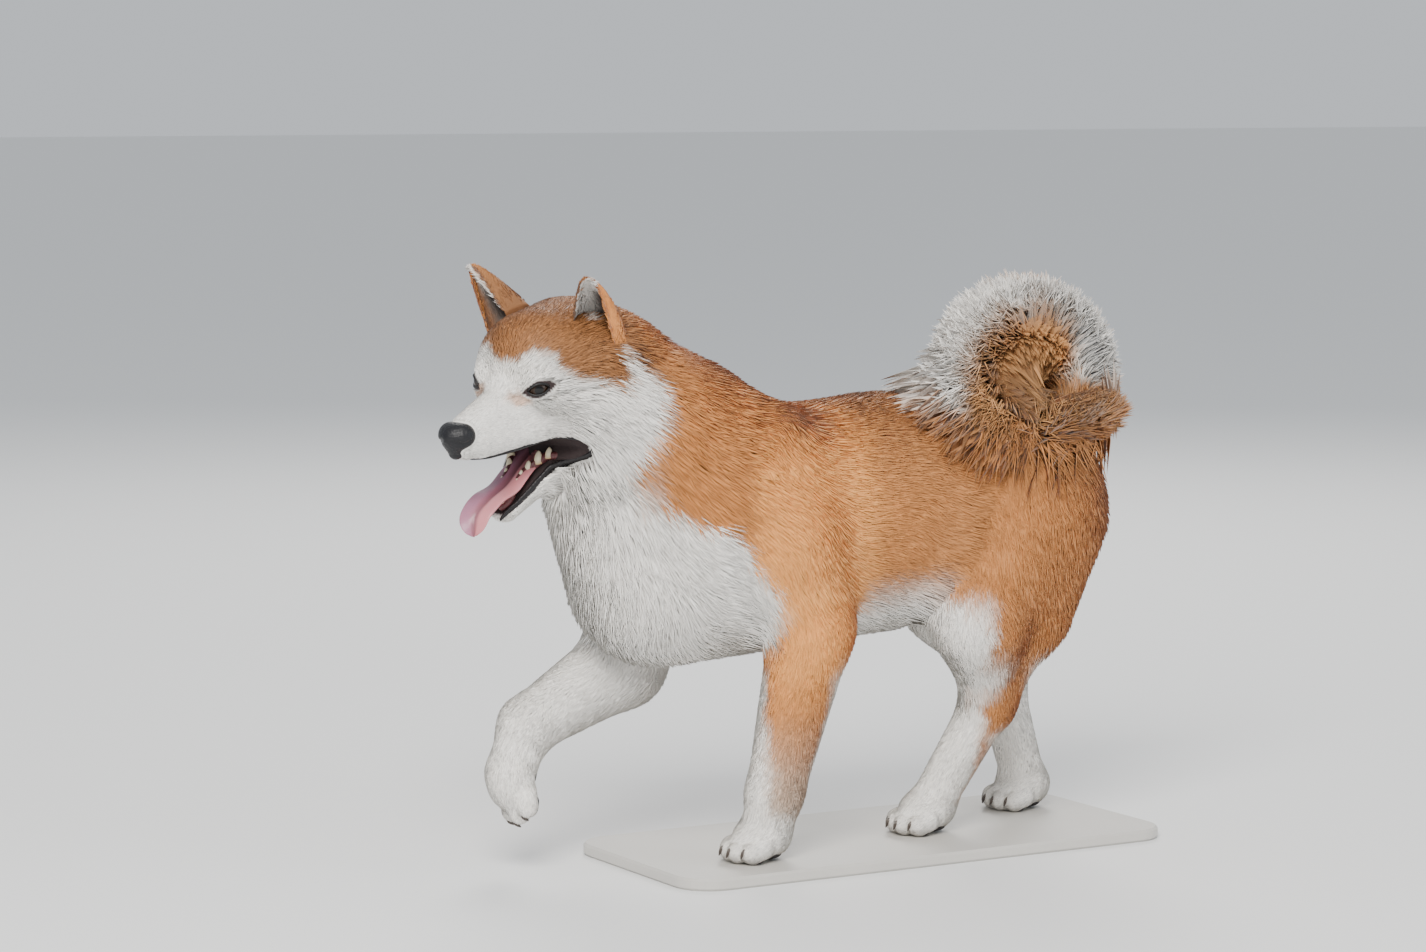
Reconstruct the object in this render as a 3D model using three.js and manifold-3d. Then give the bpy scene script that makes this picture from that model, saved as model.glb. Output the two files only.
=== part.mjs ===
// A life-size shiba inu in mid-stride: right foreleg lifted, head turned a little to the left, mouth open
// with the tongue out, and the bushy tail curled over the back. It stands on a flat display base.
// Millimetres, +Z up. The dog faces -X, and its left side is towards -Y. The soles are at z = 0 of the body
// frame, and the whole is moved at the end so that the origin is at the middle of the base's underside.
import * as THREE from "three";
import { mergeVertices } from "three/addons/utils/BufferGeometryUtils.js";
import Module from "manifold-3d";

const wasm = await Module();
wasm.setup();

const LEFT = -1;
const RIGHT = 1;
const GAP = 0.3; // between pieces that touch
const { lerp: mix, degToRad } = THREE.MathUtils;
const vector = (p) => new THREE.Vector3(...p);
const midway = (a, b, t) => a.map((v, i) => mix(v, b[i], t));
const minus = (a, b) => a.map((v, i) => v - b[i]);
const bothSides = (make) => [LEFT, RIGHT].flatMap((side) => make(side));

const coat = (color) => new THREE.MeshStandardMaterial({ color, roughness: 0.9, metalness: 0 });
const wet = (color) => new THREE.MeshStandardMaterial({ color, roughness: 0.3, metalness: 0 });
const redCoat = coat(0xc8803f);
const paleCoat = coat(0xe9e2d6);
const blackSkin = wet(0x14110f);
const pinkSkin = wet(0xcf7f86);
const standPaint = coat(0xb9b4aa);

// Flesh is a set of forms. A form is a tapered, round-ended bar from a to b, of radius ra and rb, `wide`
// times as wide across the body as it is high, and `blend` says how softly it runs into the others.
const form = (a, b, ra, rb, wide = 1, blend = 20) => ({ a, b, ra, rb, wide, blend });

function distanceToForm(f, x, y, z) {
  const ay = f.a[1] / f.wide;
  const bx = f.b[0] - f.a[0];
  const by = f.b[1] / f.wide - ay;
  const bz = f.b[2] - f.a[2];
  const px = x - f.a[0];
  const py = y / f.wide - ay;
  const pz = z - f.a[2];
  const t = (px * bx + py * by + pz * bz) / Math.max(bx * bx + by * by + bz * bz, 1e-9);
  const h = Math.min(Math.max(t, 0), 1);
  const vx = px - h * bx;
  const vy = py - h * by;
  const vz = pz - h * bz;
  const length = Math.max(Math.hypot(vx, vy, vz), 1e-9);
  const slope = Math.hypot(vx, vy / f.wide, vz) / length;
  return (length - mix(f.ra, f.rb, h)) / Math.max(slope, 1e-9);
}

function softMin(a, b, k) {
  const h = Math.max(k - Math.abs(a - b), 0) / k;
  return Math.min(a, b) - (h * h * k) / 4;
}
const softMax = (a, b, k) => -softMin(-a, -b, k);
const distanceToForms = (forms, x, y, z) =>
  forms.reduce((d, f) => softMin(d, distanceToForm(f, x, y, z), f.blend), 1e9);

// Joints of the legs. Each leg is in its own place of the stride. `heading` is where the toes point, and
// `sole` the way the pads face.
const FORELEG_LEFT = {
  blade: [-86, -40, 338],
  shoulder: [-92, -56, 262],
  elbow: [-62, -62, 188],
  wrist: [-92, -54, 54],
  knuckle: [-99, -51, 22],
  heading: [-1, 0, 0],
  sole: [0, 0, -1],
};
const FORELEG_RIGHT = {
  blade: [-100, 40, 338],
  shoulder: [-148, 52, 242],
  elbow: [-172, 56, 154],
  wrist: [-266, 48, 110],
  knuckle: [-284, 46, 71],
  heading: [-0.2, 0, -0.98],
  sole: [0.98, 0, -0.2],
};
const HINDLEG_LEFT = {
  hip: [162, -42, 298],
  seat: [188, -42, 262],
  knee: [104, -60, 188],
  hock: [128, -38, 110],
  knuckle: [84, -16, 22],
  heading: [-1, 0, 0],
  sole: [0, 0, -1],
};
const HINDLEG_RIGHT = {
  hip: [162, 42, 298],
  seat: [188, 42, 262],
  knee: [146, 56, 194],
  hock: [194, 44, 110],
  knuckle: [218, 38, 22],
  heading: [-1, 0, 0],
  sole: [0, 0, -1],
};

const PALM_RADIUS = 19;
const TOE_RADIUS = 9.5;
const TOE_ACROSS = [-17, -6, 6, 17];
const TOE_REACH = [22, 29, 29, 22];

// A point of a paw: along its heading, across it, and above its sole's plane through the knuckle.
function pawPoint(leg, along, across, above) {
  const heading = vector(leg.heading).normalize();
  const sole = vector(leg.sole).normalize();
  const aside = new THREE.Vector3().crossVectors(sole, heading);
  return vector(leg.knuckle)
    .addScaledVector(heading, along)
    .addScaledVector(aside, across)
    .addScaledVector(sole, -above)
    .toArray();
}

const pawForms = (leg) => [
  form(pawPoint(leg, -3, 0, -1), pawPoint(leg, 12, 0, -4), PALM_RADIUS, PALM_RADIUS - 2, 1.1, 8),
  ...TOE_REACH.map((reach, i) => {
    const across = TOE_ACROSS[i];
    const root = pawPoint(leg, 10, across * 0.8, -9);
    return form(root, pawPoint(leg, reach, across, -12.5), TOE_RADIUS + 1, TOE_RADIUS, 1, 4);
  }),
];

const forelegForms = (leg) => [
  form(leg.blade, leg.shoulder, 34, 50, 0.62, 26),
  form(leg.shoulder, leg.elbow, 48, 37, 0.68, 22),
  form(leg.elbow, leg.wrist, 37, 25, 0.8, 14),
  form(leg.wrist, leg.knuckle, 23.5, 19.5, 0.9, 10),
  ...pawForms(leg),
];

const HAM_HEIGHT = 186;
const hindlegForms = (leg) => {
  const ham = [mix(leg.seat[0], leg.hock[0], 0.38), leg.hock[1] * 1.2, HAM_HEIGHT];
  return [
    form(leg.hip, leg.knee, 66, 46, 0.62, 26),
    form(leg.seat, ham, 56, 41, 0.62, 24),
    form(leg.knee, leg.hock, 42, 22, 0.7, 18),
    form(ham, leg.hock, 30, 22, 0.7, 18),
    form(leg.hock, leg.knuckle, 22.5, 19.5, 0.85, 10),
    ...pawForms(leg),
  ];
};

// Trunk, neck, and the stub that carries the tail.
const TAIL_ROOT = [236, 2, 331];
const TRUNK = [
  form([-118, 0, 264], [40, 0, 272], 104, 100, 0.76, 24),
  form([40, 0, 278], [160, 0, 294], 90, 74, 0.8, 24),
  form([150, 0, 300], [190, 0, 286], 64, 52, 0.95, 24),
  form([-150, 0, 290], [-174, 0, 217], 76, 60, 0.92, 24),
  form([-222, -3, 302], [-193, 0, 232], 52, 56, 1.02, 24),
  form([-232, -8, 379], [-128, 0, 299], 77, 84, 0.8, 24),
  form([-228, 34, 372], [-150, 16, 330], 56, 78, 1, 30),
  form([200, 0, 310], TAIL_ROOT, 30, 22, 1, 16),
];
const BODY = [
  ...TRUNK,
  ...forelegForms(FORELEG_LEFT),
  ...forelegForms(FORELEG_RIGHT),
  ...hindlegForms(HINDLEG_LEFT),
  ...hindlegForms(HINDLEG_RIGHT),
];

// Head, in a frame of its own: its origin is midway between the eyes, -X to the nose, -Y to the dog's left.
const HEAD_PLACE = [-313, -14, 395];
const HEAD_TURN = { yaw: 24.6, pitch: 11.3, roll: 3.6 };
const headFrame = new THREE.Object3D();
headFrame.position.set(...HEAD_PLACE);
headFrame.rotation.set(degToRad(HEAD_TURN.roll), degToRad(-HEAD_TURN.pitch), degToRad(HEAD_TURN.yaw), "ZYX");
headFrame.updateMatrixWorld(true);
const toHead = headFrame.matrixWorld.clone().invert();
const inHead = (p) => vector(p).applyMatrix4(headFrame.matrixWorld).toArray();
const headWay = (p) => vector(p).transformDirection(headFrame.matrixWorld);

const CRANIUM = [
  form([36, 0, 6], [74, 0, 1], 45, 51, 1.07, 14),
  ...bothSides((s) => [
    form([12, s * 16, -8], [40, s * 30, -6], 21, 27, 1, 12),
    form([44, s * 33, -28], [82, s * 34, -34], 29, 35, 1, 14),
  ]),
];
const MUZZLE = [
  form([-2, 0, -22], [-62, 0, -28], 26, 17, 0.95, 10),
  ...bothSides((s) => [
    form([8, s * 19, -36], [-54, s * 8, -36], 14, 11, 1, 8),
    form([34, s * 24, -42], [8, s * 21, -37], 17, 13, 1, 8),
  ]),
];
const JAW = [
  form([50, 0, -66], [22, 0, -78], 25, 18, 1.55, 8),
  form([22, 0, -78], [-19, 0, -99], 18, 10, 1.3, 8),
];

const headPoint = new THREE.Vector3();
function distanceInHead(forms, x, y, z) {
  headPoint.set(x, y, z).applyMatrix4(toHead);
  return distanceToForms(forms, headPoint.x, headPoint.y, headPoint.z);
}
const SKULL = [...CRANIUM, ...MUZZLE];
const HEAD_BLEND = 16;
const distanceToFlesh = (x, y, z) =>
  softMin(distanceToForms(BODY, x, y, z), distanceInHead(SKULL, x, y, z), HEAD_BLEND);
const distanceToJaw = (x, y, z) => distanceInHead(JAW, x, y, z);

// Solids.
const solidFrom = (points, faces) =>
  new wasm.Manifold(
    new wasm.Mesh({ numProp: 3, vertProperties: new Float32Array(points), triVerts: new Uint32Array(faces) }),
  );

function solidOf(geometry) {
  const bare = geometry.clone();
  for (const name of Object.keys(bare.attributes)) if (name !== "position") bare.deleteAttribute(name);
  const merged = mergeVertices(bare, 1e-3);
  return solidFrom(merged.attributes.position.array, merged.index.array);
}

function geometryOf(solid) {
  const mesh = solid.getMesh();
  return new THREE.BufferGeometry()
    .setAttribute("position", new THREE.BufferAttribute(new Float32Array(mesh.vertProperties), 3))
    .setIndex(new THREE.BufferAttribute(new Uint32Array(mesh.triVerts), 1));
}

const largest = (solid) => solid.decompose().reduce((a, b) => (a.volume() > b.volume() ? a : b));
const union = (pieces) => wasm.Manifold.union(pieces);

// Moves a point straight onto the surface, in two steps along the slope of the distance.
function settle(p, distance, level) {
  const step = 0.5;
  for (let round = 0; round < 2; round++) {
    const d = distance(...p) - level;
    const slope = [0, 1, 2].map((m) => {
      const q = [...p];
      q[m] += step;
      return (distance(...q) - level - d) / step;
    });
    const square = Math.max(slope[0] ** 2 + slope[1] ** 2 + slope[2] ** 2, 0.3);
    for (let m = 0; m < 3; m++) p[m] -= (d * slope[m]) / square;
  }
}

// Edges and faces of a grid cell. Edge 4 * m + 2 * p + q runs along axis m, at p and q on the next two axes.
const CELL_EDGES = Array.from({ length: 12 }, (_, e) => {
  const [m, p, q] = [e >> 2, (e >> 1) & 1, e & 1];
  return [0, 1].map((end) => {
    const corner = [0, 0, 0];
    corner[m] = end;
    corner[(m + 1) % 3] = p;
    corner[(m + 2) % 3] = q;
    return corner;
  });
});
const CELL_FACES = [0, 1, 2].flatMap((m) =>
  [0, 1].map((side) => {
    const turn = [[0, 0], [1, 0], [1, 1], [0, 1]].map(([p, q]) => {
      const corner = [0, 0, 0];
      corner[m] = side;
      corner[(m + 1) % 3] = p;
      corner[(m + 2) % 3] = q;
      return corner;
    });
    const edges = turn.map((corner, i) => {
      const ends = [corner, turn[(i + 1) % 4]].map(String);
      return CELL_EDGES.findIndex((edge) => edge.every((end) => ends.includes(String(end))));
    });
    return { turn, edges };
  }),
);

// The closed surface where distance(x, y, z) is `level`, inside a box, on a grid of cells. Each sheet of
// surface in a cell gets one point, moved onto the surface, and each grid edge it crosses a square round it.
function surfaceOf(distance, [low, high], cell, level = 0) {
  const n = low.map((v, m) => Math.ceil((high[m] - v) / cell) + 1);
  const at = (i, j, k) => i + n[0] * (j + n[1] * k);
  const place = (i, m) => low[m] + i * cell;
  const value = new Float32Array(n[0] * n[1] * n[2]);
  for (let k = 0; k < n[2]; k++)
    for (let j = 0; j < n[1]; j++)
      for (let i = 0; i < n[0]; i++) {
        const rim = i * j * k === 0 || i === n[0] - 1 || j === n[1] - 1 || k === n[2] - 1;
        const d = distance(place(i, 0), place(j, 1), place(k, 2)) - level;
        value[at(i, j, k)] = rim ? Math.max(d, cell / 2) : d;
      }
  const points = [];
  const pointOf = new Int32Array(value.length * 12).fill(-1);
  for (let k = 0; k < n[2] - 1; k++)
    for (let j = 0; j < n[1] - 1; j++)
      for (let i = 0; i < n[0] - 1; i++) {
        const valueAt = (c) => value[at(i + c[0], j + c[1], k + c[2])];
        const crossed = CELL_EDGES.map(([a, b]) => valueAt(a) < 0 !== valueAt(b) < 0);
        if (!crossed.includes(true)) continue;
        const sheet = crossed.map((_, e) => e);
        const join = (e, f) => {
          const [from, to] = [sheet[e], sheet[f]];
          for (let g = 0; g < 12; g++) if (sheet[g] === from) sheet[g] = to;
        };
        for (const { turn, edges } of CELL_FACES) {
          const cut = edges.filter((e) => crossed[e]);
          if (cut.length === 2) join(cut[0], cut[1]);
          if (cut.length === 4)
            for (let c = 0; c < 4; c++) if (valueAt(turn[c]) < 0) join(edges[c], edges[(c + 3) % 4]);
        }
        for (const id of new Set(sheet.filter((_, e) => crossed[e]))) {
          const edges = sheet.flatMap((v, e) => (v === id && crossed[e] ? [e] : []));
          const p = [i, j, k].map((v, m) => place(v, m));
          for (const e of edges) {
            const [a, b] = CELL_EDGES[e];
            const t = valueAt(a) / (valueAt(a) - valueAt(b));
            for (let m = 0; m < 3; m++) p[m] += (mix(a[m], b[m], t) * cell) / edges.length;
          }
          const inside = p.every((v, m) => v > low[m] + cell && v < high[m] - cell);
          if (inside) settle(p, distance, level);
          for (const e of edges) pointOf[12 * at(i, j, k) + e] = points.length / 3;
          points.push(...p);
        }
      }
  const faces = [];
  for (let k = 0; k < n[2] - 1; k++)
    for (let j = 0; j < n[1] - 1; j++)
      for (let i = 0; i < n[0] - 1; i++)
        for (let m = 0; m < 3; m++) {
          const far = [i, j, k];
          far[m]++;
          const here = value[at(i, j, k)] < 0;
          if (here === value[at(...far)] < 0) continue;
          const [a, b, c, d] = [[1, 1], [0, 1], [0, 0], [1, 0]].map(([p, q]) => {
            const cellAt = [i, j, k];
            cellAt[(m + 1) % 3] -= p;
            cellAt[(m + 2) % 3] -= q;
            return pointOf[12 * at(...cellAt) + 4 * m + 2 * p + q];
          });
          faces.push(...(here ? [a, b, c, a, c, d] : [a, c, b, a, d, c]));
        }
  return solidFrom(points, faces);
}

const boxAround = (points, margin) => [
  [0, 1, 2].map((m) => Math.min(...points.map((p) => p[m])) - margin),
  [0, 1, 2].map((m) => Math.max(...points.map((p) => p[m])) + margin),
];

// A closed solid from rings of points, each joined to the next, with the ends closed by strips across them.
function loft(rings) {
  const count = rings[0].length;
  const points = rings.flat().flatMap((p) => p.toArray());
  const faces = [];
  for (let r = 0; r < rings.length - 1; r++)
    for (let i = 0; i < count; i++) {
      const a = r * count + i;
      const b = r * count + ((i + 1) % count);
      faces.push(a, b, b + count, a, b + count, a + count);
    }
  for (const [first, flip] of [[0, true], [(rings.length - 1) * count, false]])
    for (let i = 0; i < count / 2 - 1; i++) {
      const [a, b, c, d] = [i, i + 1, count - 2 - i, count - 1 - i].map((v) => v + first);
      const strip = b === c ? [a, c, d] : [a, b, c, a, c, d];
      faces.push(...(flip ? strip.reverse() : strip));
    }
  const solid = solidFrom(points, faces);
  return solid.volume() > 0 ? solid : solidFrom(points, faces.reverse());
}

// A tube round a curve. radius(t) gives its half sizes across and along `up`, at a part t of the way.
function tube(curve, steps, sides, radius, up = new THREE.Vector3(0, 0, 1)) {
  const rings = Array.from({ length: steps + 1 }, (_, s) => {
    const t = s / steps;
    const along = curve.getTangentAt(t);
    const across = new THREE.Vector3().crossVectors(along, up).normalize();
    const over = new THREE.Vector3().crossVectors(across, along);
    const [ra, rb] = radius(t);
    return Array.from({ length: sides }, (_, i) => {
      const angle = (2 * Math.PI * (i + 0.5)) / sides;
      const ring = curve.getPointAt(t).addScaledVector(across, ra * Math.cos(angle));
      return ring.addScaledVector(over, rb * Math.sin(angle));
    });
  });
  return loft(rings);
}
const curveOf = (points) => new THREE.CatmullRomCurve3(points.map(vector), false, "centripetal");

// Parting planes. What lies past a plane is on the side that its normal points to.
const plane = (point, normal) => ({ point: vector(point), normal: vector(normal).normalize() });
const reach = (p) => p.normal.dot(p.point);
const past = (solid, p) => solid.trimByPlane(p.normal.toArray(), reach(p) + GAP / 2);
const before = (solid, p, short = GAP / 2) =>
  solid.trimByPlane(p.normal.clone().negate().toArray(), short - reach(p));

const NECK_BASE = plane([-240, 0, 215], [-0.777, 0, 0.629]);
const HEAD_BASE = plane(inHead([88, 0, 50]), headWay([-0.971, 0, 0.238]).toArray());
const TAIL_BASE = plane(TAIL_ROOT, [0.72, 0.04, 0.69]);

// Where each leg is parted from the trunk: an oval plug over shoulder or thigh, and blocks round the rest.
const box = ([x0, x1], [y0, y1], [z0, z1]) => ({ x0, x1, y0, y1, z0, z1 });
const ZONES = {
  foreleg_left: {
    plug: { centre: [-88, 286], half: [58, 104], from: -34, side: LEFT },
    blocks: [box([-122, -20], [-130, -28], [126, 196]), box([-175, -5], [-130, -4], [-20, 130])],
  },
  foreleg_right: {
    plug: { centre: [-112, 280], half: [58, 108], from: 34, side: RIGHT },
    blocks: [box([-330, -126], [16, 130], [-20, 178]), box([-330, -222], [2, 130], [-20, 178])],
  },
  hindleg_left: {
    plug: { centre: [150, 270], half: [84, 104], from: -28, side: LEFT },
    blocks: [
      box([42, 100], [-130, -29], [126, 200]),
      box([100, 262], [-130, -10], [120, 236]),
      box([20, 180], [-130, 14], [-20, 132]),
    ],
  },
  hindleg_right: {
    plug: { centre: [150, 270], half: [84, 104], from: 28, side: RIGHT },
    blocks: [
      box([52, 108], [29, 130], [126, 200]),
      box([108, 262], [10, 130], [120, 236]),
      box([60, 262], [14, 130], [-20, 132]),
    ],
  },
};

function zoneOf({ plug, blocks }, grow) {
  const length = 120;
  const round = new THREE.CylinderGeometry(1, 1, length, 24);
  round.scale(plug.half[0] + grow, 1, plug.half[1] + grow);
  round.translate(plug.centre[0], plug.from + plug.side * (length / 2 - grow), plug.centre[1]);
  const solids = blocks.map(({ x0, x1, y0, y1, z0, z1 }) => {
    const block = new THREE.BoxGeometry(x1 - x0 + 2 * grow, y1 - y0 + 2 * grow, z1 - z0 + 2 * grow);
    block.translate((x0 + x1) / 2, (y0 + y1) / 2, (z0 + z1) / 2);
    return solidOf(block);
  });
  return union([solidOf(round), ...solids]);
}

const part = new THREE.Group();
const dog = new THREE.Group();
part.add(dog);
function addNode(name, solid, finish) {
  const mesh = new THREE.Mesh(geometryOf(largest(solid)), finish);
  mesh.name = name;
  dog.add(mesh);
}

// Torso.
const TRUNK_CELL = 24;
const THIGH_CELL = 21;
const LEG_CELL = 14;
const PAW_CELL = 10.5;
const TORSO_BOX = [[-262, -118, 96], [264, 118, 398]];
const trunk = before(before(surfaceOf(distanceToFlesh, TORSO_BOX, TRUNK_CELL), NECK_BASE), TAIL_BASE);
const allZones = union(Object.values(ZONES).map((zone) => zoneOf(zone, GAP)));
addNode("torso", trunk.subtract(allZones), redCoat);

// Neck.
const NECK_CELL = 19;
const NECK_BOX = [[-330, -110, 196], [-70, 110, 470]];
const neck = surfaceOf(distanceToFlesh, NECK_BOX, NECK_CELL);
addNode("neck", before(past(neck, NECK_BASE), HEAD_BASE), redCoat);

// Legs. The claws are sunk into the toes.
const CLAW_LENGTH = 9;
const CLAW_RADIUS = 2.6;
function claw(leg, i) {
  const across = TOE_ACROSS[i];
  const tip = TOE_REACH[i] + TOE_RADIUS;
  const path = curveOf([
    pawPoint(leg, tip - 6, across, -11),
    pawPoint(leg, tip, across, -11.5),
    pawPoint(leg, tip - 6 + CLAW_LENGTH, across, -16),
  ]);
  const radius = (t) => CLAW_RADIUS * (1 - 0.75 * t);
  return tube(path, 2, 4, (t) => [radius(t), radius(t)], vector(leg.sole).negate());
}

function addLeg(name, leg, [top, middle], [upperName, middleName], cutUp, cutDown) {
  const zone = zoneOf(ZONES[name], 0);
  const toeTip = pawPoint(leg, 40, 0, -10);
  const upper = surfaceOf(distanceToFlesh, boxAround(top, 84), THIGH_CELL).intersect(zone);
  addNode(`${name}_${upperName}`, before(before(upper, cutUp), NECK_BASE), redCoat);
  const limb = surfaceOf(distanceToFlesh, boxAround(middle, 84), LEG_CELL).intersect(zone);
  addNode(`${name}_${middleName}`, before(past(limb, cutUp), cutDown), redCoat);
  const footBox = boxAround([cutDown.point.toArray(), leg.knuckle, toeTip], 38);
  const foot = surfaceOf(distanceToFlesh, footBox, PAW_CELL).intersect(zone);
  const clawed = foot.add(union(TOE_REACH.map((_, i) => claw(leg, i))));
  addNode(`${name}_paw`, past(clawed, cutDown).trimByPlane([0, 0, 1], GAP), paleCoat);
}

for (const [name, leg] of [["foreleg_left", FORELEG_LEFT], ["foreleg_right", FORELEG_RIGHT]]) {
  const along = minus(leg.wrist, leg.elbow);
  const cutUp = plane(midway(leg.elbow, leg.wrist, 0.1), along);
  const cutDown = plane(midway(leg.elbow, leg.wrist, 0.84), along);
  const spans = [[leg.blade, leg.shoulder, leg.elbow], [leg.elbow, leg.wrist]];
  addLeg(name, leg, spans, ["shoulder", "forearm"], cutUp, cutDown);
}
for (const [name, leg] of [["hindleg_left", HINDLEG_LEFT], ["hindleg_right", HINDLEG_RIGHT]]) {
  const cutUp = plane(midway(leg.knee, leg.hock, 0.25), [0.3, 0, -0.95]);
  const cutDown = plane(midway(leg.hock, leg.knuckle, 0.28), minus(leg.knuckle, leg.hock));
  const spans = [[leg.hip, leg.seat, leg.knee], [leg.knee, leg.hock]];
  addLeg(name, leg, spans, ["thigh", "shank"], cutUp, cutDown);
}

// Tail: it leaves the croup to the rear, rises, and curls forwards over the back and down its left side.
const TAIL_LINE = [
  [222, 1, 321],
  TAIL_ROOT,
  [249, 5, 368],
  [232, 3, 408],
  [188, -5, 429],
  [137, -20, 421],
  [107, -38, 388],
  [118, -55, 360],
  [150, -66, 346],
  [190, -68, 348],
  [232, -64, 356],
];
const tailCurve = curveOf(TAIL_LINE);
const TAIL_UP = new THREE.Vector3(0.1, 1, 0);

// How far the hair reaches from the middle line of the tail, at a part t of its length.
const brushRadius = (t) => 23 + 17 * Math.sin(Math.PI * Math.min(t * 1.3, 1)) - 44 * Math.max(t - 0.75, 0);
const CORE_SHARE = 0.46;
const core = tube(tailCurve, 16, 6, (t) => Array(2).fill(CORE_SHARE * brushRadius(t)), TAIL_UP);

// The same draw every time, from 0 to 1.
let seed = 20471;
const draw = () => {
  seed = (seed * 16807) % 2147483647;
  return seed / 2147483647;
};
const vary = (spread) => 1 + spread * (2 * draw() - 1);

// Two ways across the tail, and the way along it, at a part t of its length.
function sidesOfTail(t) {
  const along = tailCurve.getTangentAt(t);
  const across = new THREE.Vector3().crossVectors(along, TAIL_UP).normalize();
  return [across, new THREE.Vector3().crossVectors(across, along), along];
}

// A lock: a flat blade that starts inside the core and lies along the tail, rising to its tip as it tapers.
// Past the tail's own end the blades close in on its middle line. Inside the curl they are shorter.
const LOCK_LENGTH = 72;
const LOCK_HALF = 23;
const LOCK_THICK = 4.2;
const LOCK_SHAPE = [[0, 0.8], [0.5, 1], [1, 0.14]];
const tailLength = tailCurve.getLength();
const CURL_MIDDLE = new THREE.Vector3(178, -30, 386);
function lock(t, angle) {
  const root = tailCurve.getPointAt(t);
  const [rootAcross, rootOver] = sidesOfTail(t);
  const outwards = rootAcross.multiplyScalar(Math.cos(angle)).addScaledVector(rootOver, Math.sin(angle));
  const inCurl = Math.max(outwards.dot(CURL_MIDDLE.clone().sub(root).normalize()), 0);
  const length = LOCK_LENGTH * vary(0.14) * (1 - 0.2 * inCurl);
  const half = LOCK_HALF * vary(0.15) * (1 - 0.2 * inCurl);
  const lift = vary(0.07);
  const sway = 0.25 * (draw() - 0.5);
  const rings = LOCK_SHAPE.map(([u, width]) => {
    const here = t + (u * length) / tailLength;
    const inside = Math.min(here, 1);
    const [across, over, along] = sidesOfTail(inside);
    const turn = angle + sway * u;
    const out = across.multiplyScalar(Math.cos(turn)).addScaledVector(over, Math.sin(turn));
    const aside = new THREE.Vector3().crossVectors(along, out);
    const closing = Math.max(1 - (here - inside) * 9, 0.2);
    const spread = mix(0.3, 1 + 0.12 * inCurl, u ** 0.7);
    const rise = brushRadius(inside) * lift * spread * closing;
    const beyond = (here - inside) * tailLength;
    const centre = tailCurve.getPointAt(inside).addScaledVector(along, beyond).addScaledVector(out, rise);
    const w = half * width;
    const h = LOCK_THICK * Math.min(width, 0.9);
    return [[1, -0.5], [0, 1], [-1, -0.5]].map(([i, j]) =>
      centre.clone().addScaledVector(aside, i * w).addScaledVector(out, j * h),
    );
  });
  return loft(rings);
}

const LOCK_STATIONS = 8;
const LOCKS_ROUND = 4;
const locks = Array.from({ length: LOCK_STATIONS * LOCKS_ROUND }, (_, i) => {
  const station = Math.floor(i / LOCKS_ROUND);
  const t = mix(0.05, 0.93, (station + 0.5 * draw()) / LOCK_STATIONS);
  const angle = (2 * Math.PI * ((i % LOCKS_ROUND) + 0.5 * (station % 2) + 0.3 * draw())) / LOCKS_ROUND;
  return lock(t, angle);
});
const nearTrunk = surfaceOf(distanceToFlesh, [[60, -118, 250], [264, 60, 398]], 16, 3.5);
addNode("tail", union([core, ...locks]).subtract(before(nearTrunk, TAIL_BASE, -GAP / 2)), redCoat);

// Ears: small cups, thick at the root and rounded at the tip, open to the front and the side.
const EAR = { inner: [45, 34, 43], outer: [72, 63, 9], tip: [42, 62, 82], facing: [-0.856, 0.384, -0.346] };
const EAR_DEPTH = 27;
const EAR_RIM = 2.4;
const EAR_WALL = 5;
function ear(side) {
  const place = ([x, y, z]) => vector(inHead([x, side * y, z]));
  const [inner, outer, tip] = [EAR.inner, EAR.outer, EAR.tip].map(place);
  const facing = headWay([EAR.facing[0], side * EAR.facing[1], EAR.facing[2]]);
  const steps = 7;
  const across = 6;
  const rings = Array.from({ length: steps + 1 }, (_, r) => {
    const t = 1 - (1 - r / steps) ** 1.4;
    const root = inner.clone().lerp(outer, 0.5);
    const centre = root.lerp(tip, t);
    const taper = (1 - 0.62 * t) * Math.sqrt(1.02 - t ** 7);
    const half = outer.clone().sub(inner).multiplyScalar(0.5 * taper);
    const arc = (s, offset) => {
      const swell = Math.sin(Math.PI * s);
      const thick = (EAR_RIM + (EAR_WALL - EAR_RIM) * swell) * (1 - 0.35 * t);
      const depth = EAR_DEPTH * (1 - t) ** 0.8 * swell;
      return centre
        .clone()
        .addScaledVector(half, 2 * s - 1)
        .addScaledVector(facing, (offset * thick) / 2 - depth);
    };
    const back = Array.from({ length: across + 1 }, (_, i) => arc(i / across, -1));
    const front = Array.from({ length: across + 1 }, (_, i) => arc(1 - i / across, 1));
    return [...back, ...front];
  });
  return loft(rings);
}

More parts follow.
